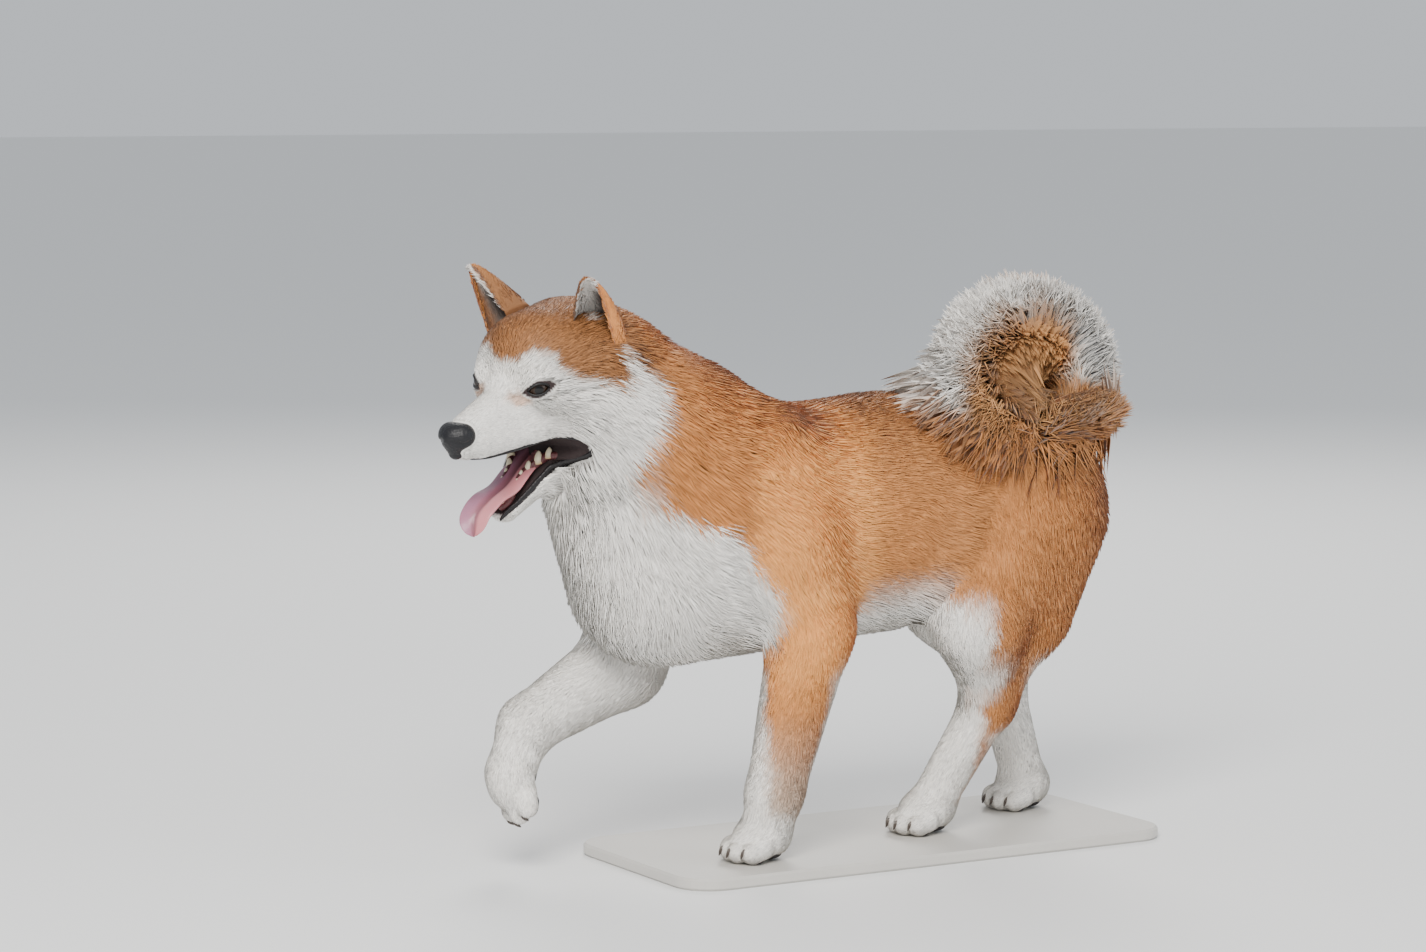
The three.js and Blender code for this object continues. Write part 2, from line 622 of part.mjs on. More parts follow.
// Eyes, with a lid above and below each.
const EYE_CENTRE = [3, 26, -1];
const EYE_RADIUS = 11;
const EYE_FACING = [-0.68, 0.73, 0];
const LID_RADIUS = 2.2;
const LID_ARCHES = [0.62, -0.42];
const eyeball = (side, radius) =>
  solidOf(
    new THREE.SphereGeometry(radius, 12, 8).translate(
      ...inHead([EYE_CENTRE[0], side * EYE_CENTRE[1], EYE_CENTRE[2]]),
    ),
  );
function lid(side, arch) {
  const centre = [EYE_CENTRE[0], side * EYE_CENTRE[1], EYE_CENTRE[2]];
  const facing = vector([EYE_FACING[0], side * EYE_FACING[1], 0]);
  const aside = vector([-EYE_FACING[0] + 0.05, side * -EYE_FACING[0], 0]).normalize();
  const points = [-1, -0.6, -0.2, 0.2, 0.6, 1].map((u) => {
    const way = facing.clone().addScaledVector(aside, 1.2 * u).setZ(arch * (1 - u * u) + 0.14 * u);
    return inHead(vector(centre).addScaledVector(way.normalize(), EYE_RADIUS + 1.2).toArray());
  });
  const radius = (t) => LID_RADIUS * (0.55 + 0.45 * Math.sin(Math.PI * t));
  return tube(curveOf(points), 6, 5, (t) => [radius(t), radius(t)], headWay([0, 0, 1]));
}

// Nose, with a nostril cut into each side.
const NOSE = [
  form([-69, -6, -23], [-69, 6, -23], 9.8, 9.8, 1, 6),
  form([-74, 0, -24], [-72, 0, -36], 9.5, 6, 1, 6),
];
const NOSTRILS = bothSides((s) => [form([-85, s * 4.6, -24], [-77, s * 12, -28], 2.4, 2.2)]);
const distanceToNose = (x, y, z) =>
  NOSTRILS.reduce((d, f) => softMax(d, -distanceInHead([f], x, y, z), 1.5), distanceInHead(NOSE, x, y, z));
const NOSE_CELL = 4.2;
const NOSE_BOX = boxAround([inHead([-72, -6, -26]), inHead([-72, 6, -26])], 17);

// Lips: a soft edge along each side of the mouth, above and below.
const UPPER_LIP = [[-68, 7, -45], [-48, 16, -47], [-22, 25, -49], [6, 32, -47], [32, 38, -54]];
const LOWER_LIP = [[-26, 5, -95], [-14, 13, -90], [6, 20, -79], [24, 29, -66], [36, 36, -58]];
const lip = (line, side, thickness) => {
  const points = line.map(([x, y, z]) => inHead([x, side * y, z]));
  const radius = (t) => thickness * (0.7 + 0.3 * Math.sin(Math.PI * t));
  return tube(curveOf(points), 6, 5, (t) => [radius(t), radius(t)], headWay([0, 0, 1]));
};

// The open mouth: a wedge from the corner forwards, between the palate and the floor of the jaw.
const MOUTH = [[26, -56], [8, -49], [-95, -45], [-95, -135], [-34, -103], [-14, -89], [4, -78], [18, -67]];
const MOUTH_WIDTH = 130;
const mouth = (() => {
  const wedge = new THREE.Shape(MOUTH.map(([x, z]) => new THREE.Vector2(x, z)));
  const block = new THREE.ExtrudeGeometry(wedge, { depth: MOUTH_WIDTH, bevelEnabled: false });
  block.translate(0, 0, -MOUTH_WIDTH / 2).rotateX(Math.PI / 2);
  return solidOf(block.applyMatrix4(headFrame.matrixWorld));
})();

// Head, and the muzzle in front of the eyes.
const HEAD_CELL = 12.5;
const MUZZLE_CELL = 8;
const HEAD_BOX = [[-425, -118, 285], [-190, 84, 470]];
const MUZZLE_BOX = boxAround([inHead([-70, 0, -26]), inHead([0, -20, -50]), inHead([0, 20, 0])], 36);
const MUZZLE_BASE = plane(inHead([-11, 0, 0]), headWay([-1, 0, 0]).toArray());
const headFlesh = (level) => surfaceOf(distanceToFlesh, HEAD_BOX, HEAD_CELL, level);
const lips = union(bothSides((s) => lip(UPPER_LIP, s, 3.4)));
const lids = union(bothSides((s) => LID_ARCHES.map((arch) => lid(s, arch))));
const eyeballs = union(bothSides((s) => [eyeball(s, EYE_RADIUS + GAP)]));
const head = past(headFlesh(0), HEAD_BASE).subtract(mouth).add(lids).add(lips);
addNode("head", before(head, MUZZLE_BASE).subtract(eyeballs), redCoat);
const muzzle = surfaceOf(distanceToFlesh, MUZZLE_BOX, MUZZLE_CELL).subtract(mouth).add(lids).add(lips);
const noseHollow = surfaceOf(distanceToNose, NOSE_BOX, NOSE_CELL, GAP);
addNode("muzzle", past(muzzle, MUZZLE_BASE).subtract(eyeballs).subtract(noseHollow), paleCoat);
addNode("nose", surfaceOf(distanceToNose, NOSE_BOX, NOSE_CELL), blackSkin);
const clearOfHead = headFlesh(2 * GAP).subtract(mouth).add(lips);
for (const [name, side] of [["left", LEFT], ["right", RIGHT]]) {
  addNode(`eye_${name}`, eyeball(side, EYE_RADIUS), blackSkin);
  addNode(`ear_${name}`, ear(side).subtract(clearOfHead), redCoat);
}

// Lower jaw, with its lips and cheek teeth, and the tongue that hangs out over it.
const JAW_CELL = 8.6;
const JAW_BOX = boxAround([inHead([54, 0, -66]), inHead([-19, 0, -99])], 42);
const TEETH = [[13, 23, -62, 8], [5, 21, -68, 7], [-3, 18, -74, 6], [-20, 6, -88, 8]];
const TOOTH_RADIUS = 3.4;
const tooth = (side, [x, y, z, height], grow) => {
  const places = [[x + 2, z - height], [x, z], [x - 2, z + 3]];
  const path = curveOf(places.map(([along, up]) => inHead([along, side * y, up])));
  const radius = (t) => TOOTH_RADIUS * (1 - 0.8 * t);
  return tube(path, 2, 4, (t) => [radius(t) + grow, radius(t) + grow], headWay([1, 0, 0]));
};
const TONGUE_LINE = [
  [34, 0, -58],
  [8, 0, -68],
  [-14, 0, -80],
  [-37, 0, -86],
  [-54, 0, -94],
  [-62, -2, -108],
];
const TONGUE = { half: 16.5, thick: 4, groove: 2.5 };
function tongue() {
  const curve = curveOf(TONGUE_LINE.map(inHead));
  const steps = 10;
  const sides = 10;
  const up = headWay([0, 0, 1]);
  const rings = Array.from({ length: steps + 1 }, (_, s) => {
    const t = s / steps;
    const along = curve.getTangentAt(t);
    const across = new THREE.Vector3().crossVectors(along, up).normalize();
    const over = new THREE.Vector3().crossVectors(across, along);
    const rounding = Math.sqrt(Math.max(1 - (Math.max(t - 0.75, 0) / 0.27) ** 2, 0.05));
    const half = TONGUE.half * (0.85 + 0.2 * Math.min(t, 0.75)) * rounding;
    return Array.from({ length: sides }, (_, i) => {
      const angle = (2 * Math.PI * (i + 0.5)) / sides;
      const dip = Math.sin(angle) > 0 ? TONGUE.groove * (1 - Math.abs(Math.cos(angle))) : 0;
      const ring = curve.getPointAt(t).addScaledVector(across, half * Math.cos(angle));
      return ring.addScaledVector(over, TONGUE.thick * Math.sin(angle) - dip);
    });
  });
  return loft(rings);
}
const jaw = (level) => surfaceOf(distanceToJaw, JAW_BOX, JAW_CELL, level);
const mouthEdge = (grow) =>
  union(bothSides((s) => [lip(LOWER_LIP, s, 3 + grow), ...TEETH.map((place) => tooth(s, place, grow))]));
const jawFlesh = past(jaw(0), HEAD_BASE).subtract(mouth).add(mouthEdge(0));
addNode("lower_jaw", jawFlesh.subtract(clearOfHead), paleCoat);
const clearOfJaw = jaw(2 * GAP).subtract(mouth).add(mouthEdge(2 * GAP));
addNode("tongue", tongue().subtract(clearOfHead).subtract(clearOfJaw), pinkSkin);

// Base, big enough to hold the dog up with one paw lifted.
const BASE = { length: 470, width: 210, height: 10, corner: 30, middle: [38, 0], bevel: 2 };
const outline = new THREE.Shape();
for (const [signX, signY, start] of [[1, 1, 0], [-1, 1, 90], [-1, -1, 180], [1, -1, 270]]) {
  const x = signX * (BASE.length / 2 - BASE.bevel - BASE.corner);
  const y = signY * (BASE.width / 2 - BASE.bevel - BASE.corner);
  outline.absarc(x, y, BASE.corner, degToRad(start), degToRad(start + 90));
}
const plate = new THREE.ExtrudeGeometry(outline, {
  depth: BASE.height - 2 * BASE.bevel,
  bevelSize: BASE.bevel,
  bevelThickness: BASE.bevel,
  bevelSegments: 1,
  curveSegments: 4,
});
plate.translate(...BASE.middle, BASE.bevel - BASE.height);
addNode("stand_base", solidOf(plate), standPaint);

// The origin is put at the middle of the base's underside, by the box of the whole.
const bounds = new THREE.Box3().setFromObject(dog);
const middle = bounds.getCenter(new THREE.Vector3());
dog.position.set(-middle.x, -middle.y, -bounds.min.z);

export default part;
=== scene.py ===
import math

import bpy
import numpy as np
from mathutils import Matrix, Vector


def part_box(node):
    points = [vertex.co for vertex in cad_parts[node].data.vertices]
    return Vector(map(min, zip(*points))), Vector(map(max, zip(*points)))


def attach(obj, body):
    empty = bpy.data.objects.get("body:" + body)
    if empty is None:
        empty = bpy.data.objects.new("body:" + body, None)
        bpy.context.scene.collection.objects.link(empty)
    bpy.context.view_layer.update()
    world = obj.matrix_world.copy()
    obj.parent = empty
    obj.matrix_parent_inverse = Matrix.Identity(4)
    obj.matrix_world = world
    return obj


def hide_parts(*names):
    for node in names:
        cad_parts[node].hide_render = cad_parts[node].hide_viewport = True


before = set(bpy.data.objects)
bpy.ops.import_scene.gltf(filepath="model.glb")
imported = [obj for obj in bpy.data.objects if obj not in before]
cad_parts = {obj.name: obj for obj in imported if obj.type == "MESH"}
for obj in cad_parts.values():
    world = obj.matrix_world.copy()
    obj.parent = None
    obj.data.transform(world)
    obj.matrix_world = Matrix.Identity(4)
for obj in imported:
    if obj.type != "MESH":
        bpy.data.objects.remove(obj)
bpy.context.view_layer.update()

# The camera stands where the photo was taken from: about 3.3 m off, ahead of the dog's left side, a little
# above its back, and level but for a slight dip. The base's top is the dog's z = 0.
MM = 0.001
BASE_AHEAD = 38.0
CAMERA_PLACE = np.array([-1733.8, -2797.1, 633.5])
CAMERA_HEADING = math.radians(30)
CAMERA_DIP = math.radians(5.70)
PHOTO_WIDTH = 1426
FOCAL_LENGTH = 3968 / PHOTO_WIDTH  # of the picture's width

base_low, base_high = (np.array(corner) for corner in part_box("stand_base"))
ORIGIN = np.array([(base_low[0] + base_high[0]) / 2, (base_low[1] + base_high[1]) / 2, base_high[2]])
ORIGIN[0] -= BASE_AHEAD * MM

camera = bpy.data.objects.new("camera", bpy.data.cameras.new("camera"))
camera.location = CAMERA_PLACE * MM + ORIGIN
camera.rotation_euler = (math.pi / 2 - CAMERA_DIP, 0, -CAMERA_HEADING)
camera.data.sensor_width = 36
camera.data.lens = 36 * FOCAL_LENGTH
camera.data.clip_start = 0.05
bpy.context.collection.objects.link(camera)
bpy.context.scene.camera = camera


# Floor and light: a plain pale floor, and a studio's soft boxes, the main one high at the camera's left.
# Neither belongs to the dog.
FLOOR_SIZE = 80.0
FLOOR_COLOR = (0.83, 0.835, 0.83, 1)
SOFT_BOXES = {
    # name: (place in metres, size in metres, watts, colour)
    "key": ((-1.9, -2.3, 2.6), 1.9, 185, (1.0, 0.97, 0.93)),
    "fill": ((2.6, -2.8, 1.5), 2.4, 30, (0.94, 0.97, 1.0)),
    "rim": ((1.6, 2.4, 2.4), 1.6, 62, (1.0, 0.97, 0.93)),
}


def plain_material(name, color, roughness):
    """A material of one colour and roughness, with its nodes at hand."""
    material = bpy.data.materials.new(name)
    material.use_nodes = True
    shader = material.node_tree.nodes["Principled BSDF"]
    shader.inputs["Base Color"].default_value = color
    shader.inputs["Roughness"].default_value = roughness
    return material, shader


def write_mesh(name, points, faces, material):
    """Puts points (n, 3) in metres and faces (m, k), rows of corner numbers, into a new smooth mesh."""
    mesh = bpy.data.meshes.new(name)
    count, sides = faces.shape
    mesh.vertices.add(len(points))
    mesh.vertices.foreach_set("co", np.ascontiguousarray(points, dtype=np.float32).ravel())
    mesh.loops.add(count * sides)
    mesh.loops.foreach_set("vertex_index", np.ascontiguousarray(faces, dtype=np.int32).ravel())
    mesh.polygons.add(count)
    mesh.polygons.foreach_set("loop_start", np.arange(count, dtype=np.int32) * sides)
    mesh.polygons.foreach_set("use_smooth", np.ones(count, dtype=bool))
    mesh.update(calc_edges=True)
    mesh.materials.append(material)
    piece = bpy.data.objects.new(name, mesh)
    bpy.context.collection.objects.link(piece)
    return piece


half = FLOOR_SIZE / 2
floor_corners = np.array([[-half, -half, 0], [half, -half, 0], [half, half, 0], [-half, half, 0]])
floor_paint, _ = plain_material("floor_paint", FLOOR_COLOR, 0.8)
floor = write_mesh("floor", floor_corners, np.array([[0, 1, 2, 3]]), floor_paint)

for name, (place, size, watts, color) in SOFT_BOXES.items():
    light = bpy.data.lights.new(name, "AREA")
    light.shape = "DISK"
    light.size = size
    light.energy = watts
    light.color = color
    lamp = bpy.data.objects.new(name, light)
    lamp.location = place
    aim = np.array([0.0, 0.0, 0.28]) - np.array(place)
    lamp.rotation_euler = (math.atan2(math.hypot(aim[0], aim[1]), -aim[2]), 0, math.atan2(-aim[0], aim[1]))
    bpy.context.collection.objects.link(lamp)

world = bpy.data.worlds.new("studio")
world.use_nodes = True
backdrop = world.node_tree.nodes["Background"]
backdrop.inputs["Color"].default_value = (0.86, 0.90, 0.95, 1)
backdrop.inputs["Strength"].default_value = 0.74
bpy.context.scene.world = world


# Flesh and skin: the whole dog is one soft closed skin over bars of flesh that run into each other. Each
# bar follows a bone or a muscle, and has its own depth of coat, which the skin lies inside the solids by.
# The bars have the places and sizes of the solids, so coat tips come out where the solids end.
def bar(a, b, ra, rb, wide=1.0, blend=20.0, coat=(10, 24, 2.2), lie=None, region="trunk"):
    """One bar of flesh from a to b, of radius ra and rb out to the tips of its coat, `wide` times as wide
    across as high. coat is the coat's depth, and the length and width of its tufts. lie is the way the hair
    points, from a to b unless given."""
    a = np.array(a, dtype=np.float64)
    b = np.array(b, dtype=np.float64)
    lie = b - a if lie is None else np.array(lie, dtype=np.float64)
    return {
        "a": a,
        "b": b,
        "ra": ra,
        "rb": rb,
        "wide": wide,
        "blend": blend,
        "depth": coat[0],
        "hair": coat,
        "lie": lie / np.linalg.norm(lie),
        "region": region,
    }


def soft_min(a, b, k):
    """The smaller of a and b, rounded off by a parabola where they are less than k apart."""
    h = np.maximum(k - np.abs(a - b), 0) / k
    return np.minimum(a, b) - h * h * (k / 4)


def soft_max(a, b, k):
    """The larger of a and b, rounded off in the same way."""
    return -soft_min(-a, -b, k)


def distance_to_bar(piece, x, y, z, inset=0.0):
    """Distance from (x, y, z) to a bar whose radii are less by inset: across the bar lengths are divided by
    `wide`, the nearest point of the middle line is found, and the result is divided by the slope there."""
    a, b, wide = piece["a"], piece["b"], piece["wide"]
    bx, by, bz = b[0] - a[0], (b[1] - a[1]) / wide, b[2] - a[2]
    px, py, pz = x - a[0], (y - a[1]) / wide, z - a[2]
    h = np.clip((px * bx + py * by + pz * bz) / max(bx * bx + by * by + bz * bz, 1e-9), 0, 1)
    vx, vy, vz = px - h * bx, py - h * by, pz - h * bz
    square = vx * vx + vz * vz
    length = np.sqrt(square + vy * vy) + 1e-6
    slope = np.sqrt(square + (vy / wide) ** 2) / length
    radius = piece["ra"] + h * (piece["rb"] - piece["ra"]) - inset
    return (length - radius) / np.maximum(slope, 1e-6)


LEGS = {
    "foreleg_left": {
        "blade": (-86, -40, 338),
        "shoulder": (-92, -56, 262),
        "elbow": (-62, -62, 188),
        "wrist": (-92, -54, 54),
        "knuckle": (-99, -51, 22),
        "heading": (-1, 0, 0),
        "sole": (0, 0, -1),
    },
    "foreleg_right": {
        "blade": (-100, 40, 338),
        "shoulder": (-148, 52, 242),
        "elbow": (-172, 56, 154),
        "wrist": (-266, 48, 110),
        "knuckle": (-284, 46, 71),
        "heading": (-0.2, 0, -0.98),
        "sole": (0.98, 0, -0.2),
    },
    "hindleg_left": {
        "hip": (162, -42, 298),
        "seat": (188, -42, 262),
        "knee": (104, -60, 188),
        "hock": (128, -38, 110),
        "knuckle": (84, -16, 22),
        "heading": (-1, 0, 0),
        "sole": (0, 0, -1),
    },
    "hindleg_right": {
        "hip": (162, 42, 298),
        "seat": (188, 42, 262),
        "knee": (146, 56, 194),
        "hock": (194, 44, 110),
        "knuckle": (218, 38, 22),
        "heading": (-1, 0, 0),
        "sole": (0, 0, -1),
    },
}
HAM_HEIGHT = 186
HAM_SHARE = 0.38
TOE_RADIUS = 9.5
TOE_ACROSS = (-17, -6, 6, 17)
TOE_REACH = (22, 29, 29, 22)


def unit(v):
    """v, or each row of v, at length 1."""
    v = np.asarray(v, dtype=np.float64)
    return v / np.maximum(np.linalg.norm(v, axis=-1, keepdims=True), 1e-9)


def paw_point(leg, along, across, above):
    """A place on a paw: along its heading, across it, and above the plane of its sole at the knuckle."""
    heading, sole = unit(leg["heading"]), unit(leg["sole"])
    return np.array(leg["knuckle"]) + along * heading + across * np.cross(sole, heading) - above * sole


def paw_bars(leg, region):
    """The palm, and four toes that reach ahead of it."""
    palm = (paw_point(leg, -3, 0, -1), paw_point(leg, 12, 0, -4))
    bars = [bar(*palm, 19, 17, 1.1, 8, (2.4, 7, 1.0), leg["heading"], region)]
    for across, reach in zip(TOE_ACROSS, TOE_REACH):
        root = paw_point(leg, 10, 0.8 * across, -9)
        tip = paw_point(leg, reach, across, -12.5)
        bars.append(bar(root, tip, TOE_RADIUS + 1, TOE_RADIUS, 1, 3, (1.2, 4.5, 0.8), None, region))
    return bars


def foreleg_bars(leg, region):
    """Shoulder, upper arm, forearm, pastern and paw."""
    return [
        bar(leg["blade"], leg["shoulder"], 34, 50, 0.62, 26, (11, 25, 1.6), (0.25, 0, -1)),
        bar(leg["shoulder"], leg["elbow"], 48, 37, 0.68, 22, (9, 21, 1.5), (0.5, 0, -1)),
        bar(leg["elbow"], leg["wrist"], 37, 25, 0.8, 14, (5, 13, 1.2), None, region),
        bar(leg["wrist"], leg["knuckle"], 23.5, 19.5, 0.9, 10, (3, 9, 1.1), None, region),
        *paw_bars(leg, region),
    ]


def hindleg_bars(leg, region):
    """Thigh, rear of the thigh, shank with its tendon, the long foot and the paw."""
    seat, hock = np.array(leg["seat"]), np.array(leg["hock"])
    ham = (seat[0] + HAM_SHARE * (hock[0] - seat[0]), hock[1] * 1.2, HAM_HEIGHT)
    return [
        bar(leg["hip"], leg["knee"], 66, 46, 0.62, 26, (10, 24, 1.6), (0.1, 0, -1), region),
        bar(seat, ham, 56, 41, 0.62, 24, (13, 30, 1.7), (0.25, 0, -1), region),
        bar(leg["knee"], hock, 42, 22, 0.7, 18, (6, 16, 1.3), (0.3, 0, -1), region),
        bar(ham, hock, 30, 22, 0.7, 18, (7, 19, 1.4), None, region),
        bar(hock, leg["knuckle"], 22.5, 19.5, 0.85, 10, (3, 9.5, 1.1), None, region),
        *paw_bars(leg, region),
    ]


TAIL_ROOT = (236, 2, 331)
BACKWARDS_DOWN = (1, 0, -0.28)
NECK_LIE = (0.85, 0, -0.62)
CHEST_LIE = (0.2, 0, -1)
body_bars = [
    bar((-118, 0, 264), (40, 0, 272), 104, 100, 0.76, 24, (11, 25, 1.6), BACKWARDS_DOWN),
    bar((40, 0, 278), (160, 0, 294), 90, 74, 0.8, 24, (10, 24, 1.6), BACKWARDS_DOWN),
    bar((150, 0, 300), (190, 0, 286), 64, 52, 0.95, 24, (11, 25, 1.6), (1, 0, -0.5)),
    bar((-150, 0, 290), (-174, 0, 217), 76, 60, 0.92, 24, (14, 29, 1.7), CHEST_LIE),
    bar((-222, -3, 302), (-193, 0, 232), 52, 56, 1.02, 24, (15, 30, 1.7), CHEST_LIE),
    bar((-232, -8, 379), (-128, 0, 299), 77, 84, 0.8, 24, (14, 28, 1.7), NECK_LIE),
    bar((-228, 34, 372), (-150, 16, 330), 56, 78, 1, 30, (14, 28, 1.7), NECK_LIE),
    bar((200, 0, 310), TAIL_ROOT, 30, 22, 1, 16, (10, 24, 1.6), (0.8, 0, 0.6)),
    *foreleg_bars(LEGS["foreleg_left"], "foreleg_left"),
    *foreleg_bars(LEGS["foreleg_right"], "foreleg_right"),
    *hindleg_bars(LEGS["hindleg_left"], "hindleg_left"),
    *hindleg_bars(LEGS["hindleg_right"], "hindleg_right"),
]

# The head has a frame of its own, between the eyes, turned to the left, dipped and leaning a little.
HEAD_PLACE = np.array([-313.0, -14.0, 395.0])
HEAD_YAW, HEAD_PITCH, HEAD_ROLL = 24.6, -11.3, 3.6


def turn(axis, degrees):
    """The matrix that turns about one axis of x, y, z, numbered 0 to 2."""
    matrix = np.eye(3)
    c, s = math.cos(math.radians(degrees)), math.sin(math.radians(degrees))
    p, q = (axis + 1) % 3, (axis + 2) % 3
    matrix[p, p] = matrix[q, q] = c
    matrix[q, p] = s
    matrix[p, q] = -s
    return matrix


HEAD_TURN = turn(2, HEAD_YAW) @ turn(1, HEAD_PITCH) @ turn(0, HEAD_ROLL)


def to_head(points):
    """Points of the dog's frame, in the head's frame."""
    return (points - HEAD_PLACE) @ HEAD_TURN


def from_head(points):
    """Points of the head's frame, in the dog's frame."""
    return np.asarray(points, dtype=np.float64) @ HEAD_TURN.T + HEAD_PLACE


REARWARDS = (1, 0, 0.1)
skull_bars = [
    bar((36, 0, 6), (74, 0, 1), 45, 51, 1.07, 14, (4.5, 10, 1.0), (1, 0, 0.15), "head"),
    bar((-2, 0, -22), (-62, 0, -28), 26, 17, 0.95, 10, (1.5, 5, 0.7), REARWARDS, "head"),
]
for side in (-1, 1):
    temple = ((12, side * 16, -8), (40, side * 30, -6))
    cheek = ((44, side * 33, -28), (82, side * 34, -34))
    flew = ((8, side * 19, -36), (-54, side * 8, -36))
    mouth_corner = ((34, side * 24, -42), (8, side * 21, -37))
    skull_bars += [
        bar(*temple, 21, 27, 1, 12, (3, 7.5, 0.85), (1, 0.5 * side, 0.1), "head"),
        bar(*cheek, 29, 35, 1, 14, (8, 16, 1.2), (1, 0.45 * side, -0.35), "head"),
        bar(*flew, 14, 11, 1, 8, (1.5, 5, 0.7), (1, 0.1 * side, -0.2), "head"),
        bar(*mouth_corner, 17, 13, 1, 8, (3, 8, 0.85), (1, 0.3 * side, -0.3), "head"),
    ]
jaw_bars = [
    bar((50, 0, -66), (22, 0, -78), 25, 18, 1.55, 8, (5, 12, 1.1), (1, 0, 0.2), "jaw"),
    bar((22, 0, -78), (-19, 0, -99), 18, 10, 1.3, 8, (1.6, 5, 0.75), (1, 0, 0.3), "jaw"),
]
HEAD_MIDDLE = (20, 0, -30)
HEAD_SPAN = 140
HEAD_BLEND = 16
JAW_BLEND = 7

# Tail: it rises from the croup and curls forwards, down the left side of the back and to the rear again.
TAIL_LINE = np.array([
    (222, 1, 321),
    TAIL_ROOT,
    (249, 5, 368),
    (232, 3, 408),
    (188, -5, 429),
    (137, -20, 421),
    (107, -38, 388),
    (118, -55, 360),
    (150, -66, 346),
    (190, -68, 348),
    (232, -64, 356),
], dtype=np.float64)
TAIL_STEPS = 30
TAIL_CORE_SHARE = 0.40
TAIL_BLEND = 5


def smooth_line(points, count):
    """count places along a smooth curve through points, evenly apart: between two points it is the cubic
    that leaves and meets them along the chord of their neighbours."""
    points = np.asarray(points, dtype=np.float64)
    ends = np.vstack([2 * points[0] - points[1], points, 2 * points[-1] - points[-2]])
    s = np.linspace(0, 1, 25)[None, :, None]
    p0, p1, p2, p3 = (ends[i : len(ends) - 3 + i, None, :] for i in range(4))
    level, slope = 2 * p1, p2 - p0
    bend = level + slope * s + (2 * p0 - 5 * p1 + 4 * p2 - p3) * s**2 + (3 * p1 - p0 - 3 * p2 + p3) * s**3
    fine = bend[:, :-1].reshape(-1, 3) / 2
    fine = np.vstack([fine, points[-1]])
    run = np.concatenate([[0], np.cumsum(np.linalg.norm(np.diff(fine, axis=0), axis=1))])
    even = np.linspace(0, run[-1], count)
    return np.stack([np.interp(even, run, fine[:, m]) for m in range(3)], axis=1)


def brush_radius(t):
    """How far the hair reaches from the tail's middle line, at a part t of its length."""
    return 23 + 17 * np.sin(np.pi * np.minimum(t * 1.3, 1)) - 44 * np.maximum(t - 0.75, 0)


tail_line = smooth_line(TAIL_LINE, TAIL_STEPS + 1)
tail_radius = brush_radius(np.linspace(0, 1, TAIL_STEPS + 1))
tail_bars = []
for i in range(TAIL_STEPS):
    reach = tail_radius[i : i + 2]
    coat = (float(reach.mean()) * (1 - TAIL_CORE_SHARE), 40, 1.35)
    region = f"tail_{i * 5 // TAIL_STEPS}"
    tail_bars.append(bar(tail_line[i], tail_line[i + 1], *reach, 1, TAIL_BLEND, coat, None, region))

# The open mouth is a wedge between palate and jaw, in the head's side view. The eyes look out of almonds.
MOUTH_OUTLINE = np.array([
    (25, -54), (16, -45), (4, -42), (-8, -45), (-95, -45),
    (-95, -135), (-34, -103), (-14, -89), (4, -78), (18, -67),
], dtype=np.float64)
EYE_CENTRE = np.array([4.4, 24.5, -1.0])
EYE_RADIUS = 11.0
LID_REACH = 12.9
EYE_FACING = np.array([-0.68, 0.73, 0.0])
EYE_SPAN = 1.3
LID_ARCHES = (0.50, -0.35)
RIM_REACH = (13.5, 15.5)
RIM_HEIGHT = (7.6, 6.2)
LID_TILT = 0.14


def distance_to_mouth(x, z):
    """Signed distance to the mouth's outline in side view, negative inside: the nearest of its edges, with
    the sign from how often a line upwards crosses them."""
    nearest = np.full(np.broadcast(x, z).shape, 1e9)
    inside = np.zeros(nearest.shape, dtype=bool)
    for (ax, az), (bx, bz) in zip(MOUTH_OUTLINE, np.roll(MOUTH_OUTLINE, -1, axis=0)):
        h = np.clip(((x - ax) * (bx - ax) + (z - az) * (bz - az)) / ((bx - ax) ** 2 + (bz - az) ** 2), 0, 1)
        nearest = np.minimum(nearest, np.hypot(x - ax - h * (bx - ax), z - az - h * (bz - az)))
        if ax != bx:
            spans = (ax > x) != (bx > x)
            inside ^= spans & (z < az + (x - ax) * (bz - az) / (bx - ax))
    return np.where(inside, -nearest, nearest)


def eye_frame(side):
    """Centre of an eye, the way it looks, and the level way across it, in the head's frame."""
    mirror = np.array([1, side, 1])
    facing = unit(EYE_FACING * mirror)
    aside = unit(np.array([-EYE_FACING[0] + 0.05, side * -EYE_FACING[0], 0]))
    return EYE_CENTRE * mirror, facing, aside


def distance_to_eye_opening(x, y, z, side):
    """Negative in the almond in front of the eyeball: u runs across the lids, and each lid is an arch over
    it, a parabola that is tilted a little."""
    centre, facing, aside = eye_frame(side)
    ex, ey, ez = x - centre[0], y - centre[1], z - centre[2]
    ahead = np.maximum(ex * facing[0] + ey * facing[1], 1e-3)
    u = (ex * aside[0] + ey * aside[1]) / ahead / EYE_SPAN
    v = ez / ahead - LID_TILT * u
    arch = np.maximum(1 - u * u, -1)
    outside = np.maximum(v - LID_ARCHES[0] * arch, LID_ARCHES[1] * arch - v) * ahead
    return np.maximum(outside, EYE_RADIUS - 1 - np.sqrt(ex * ex + ey * ey + ez * ez))


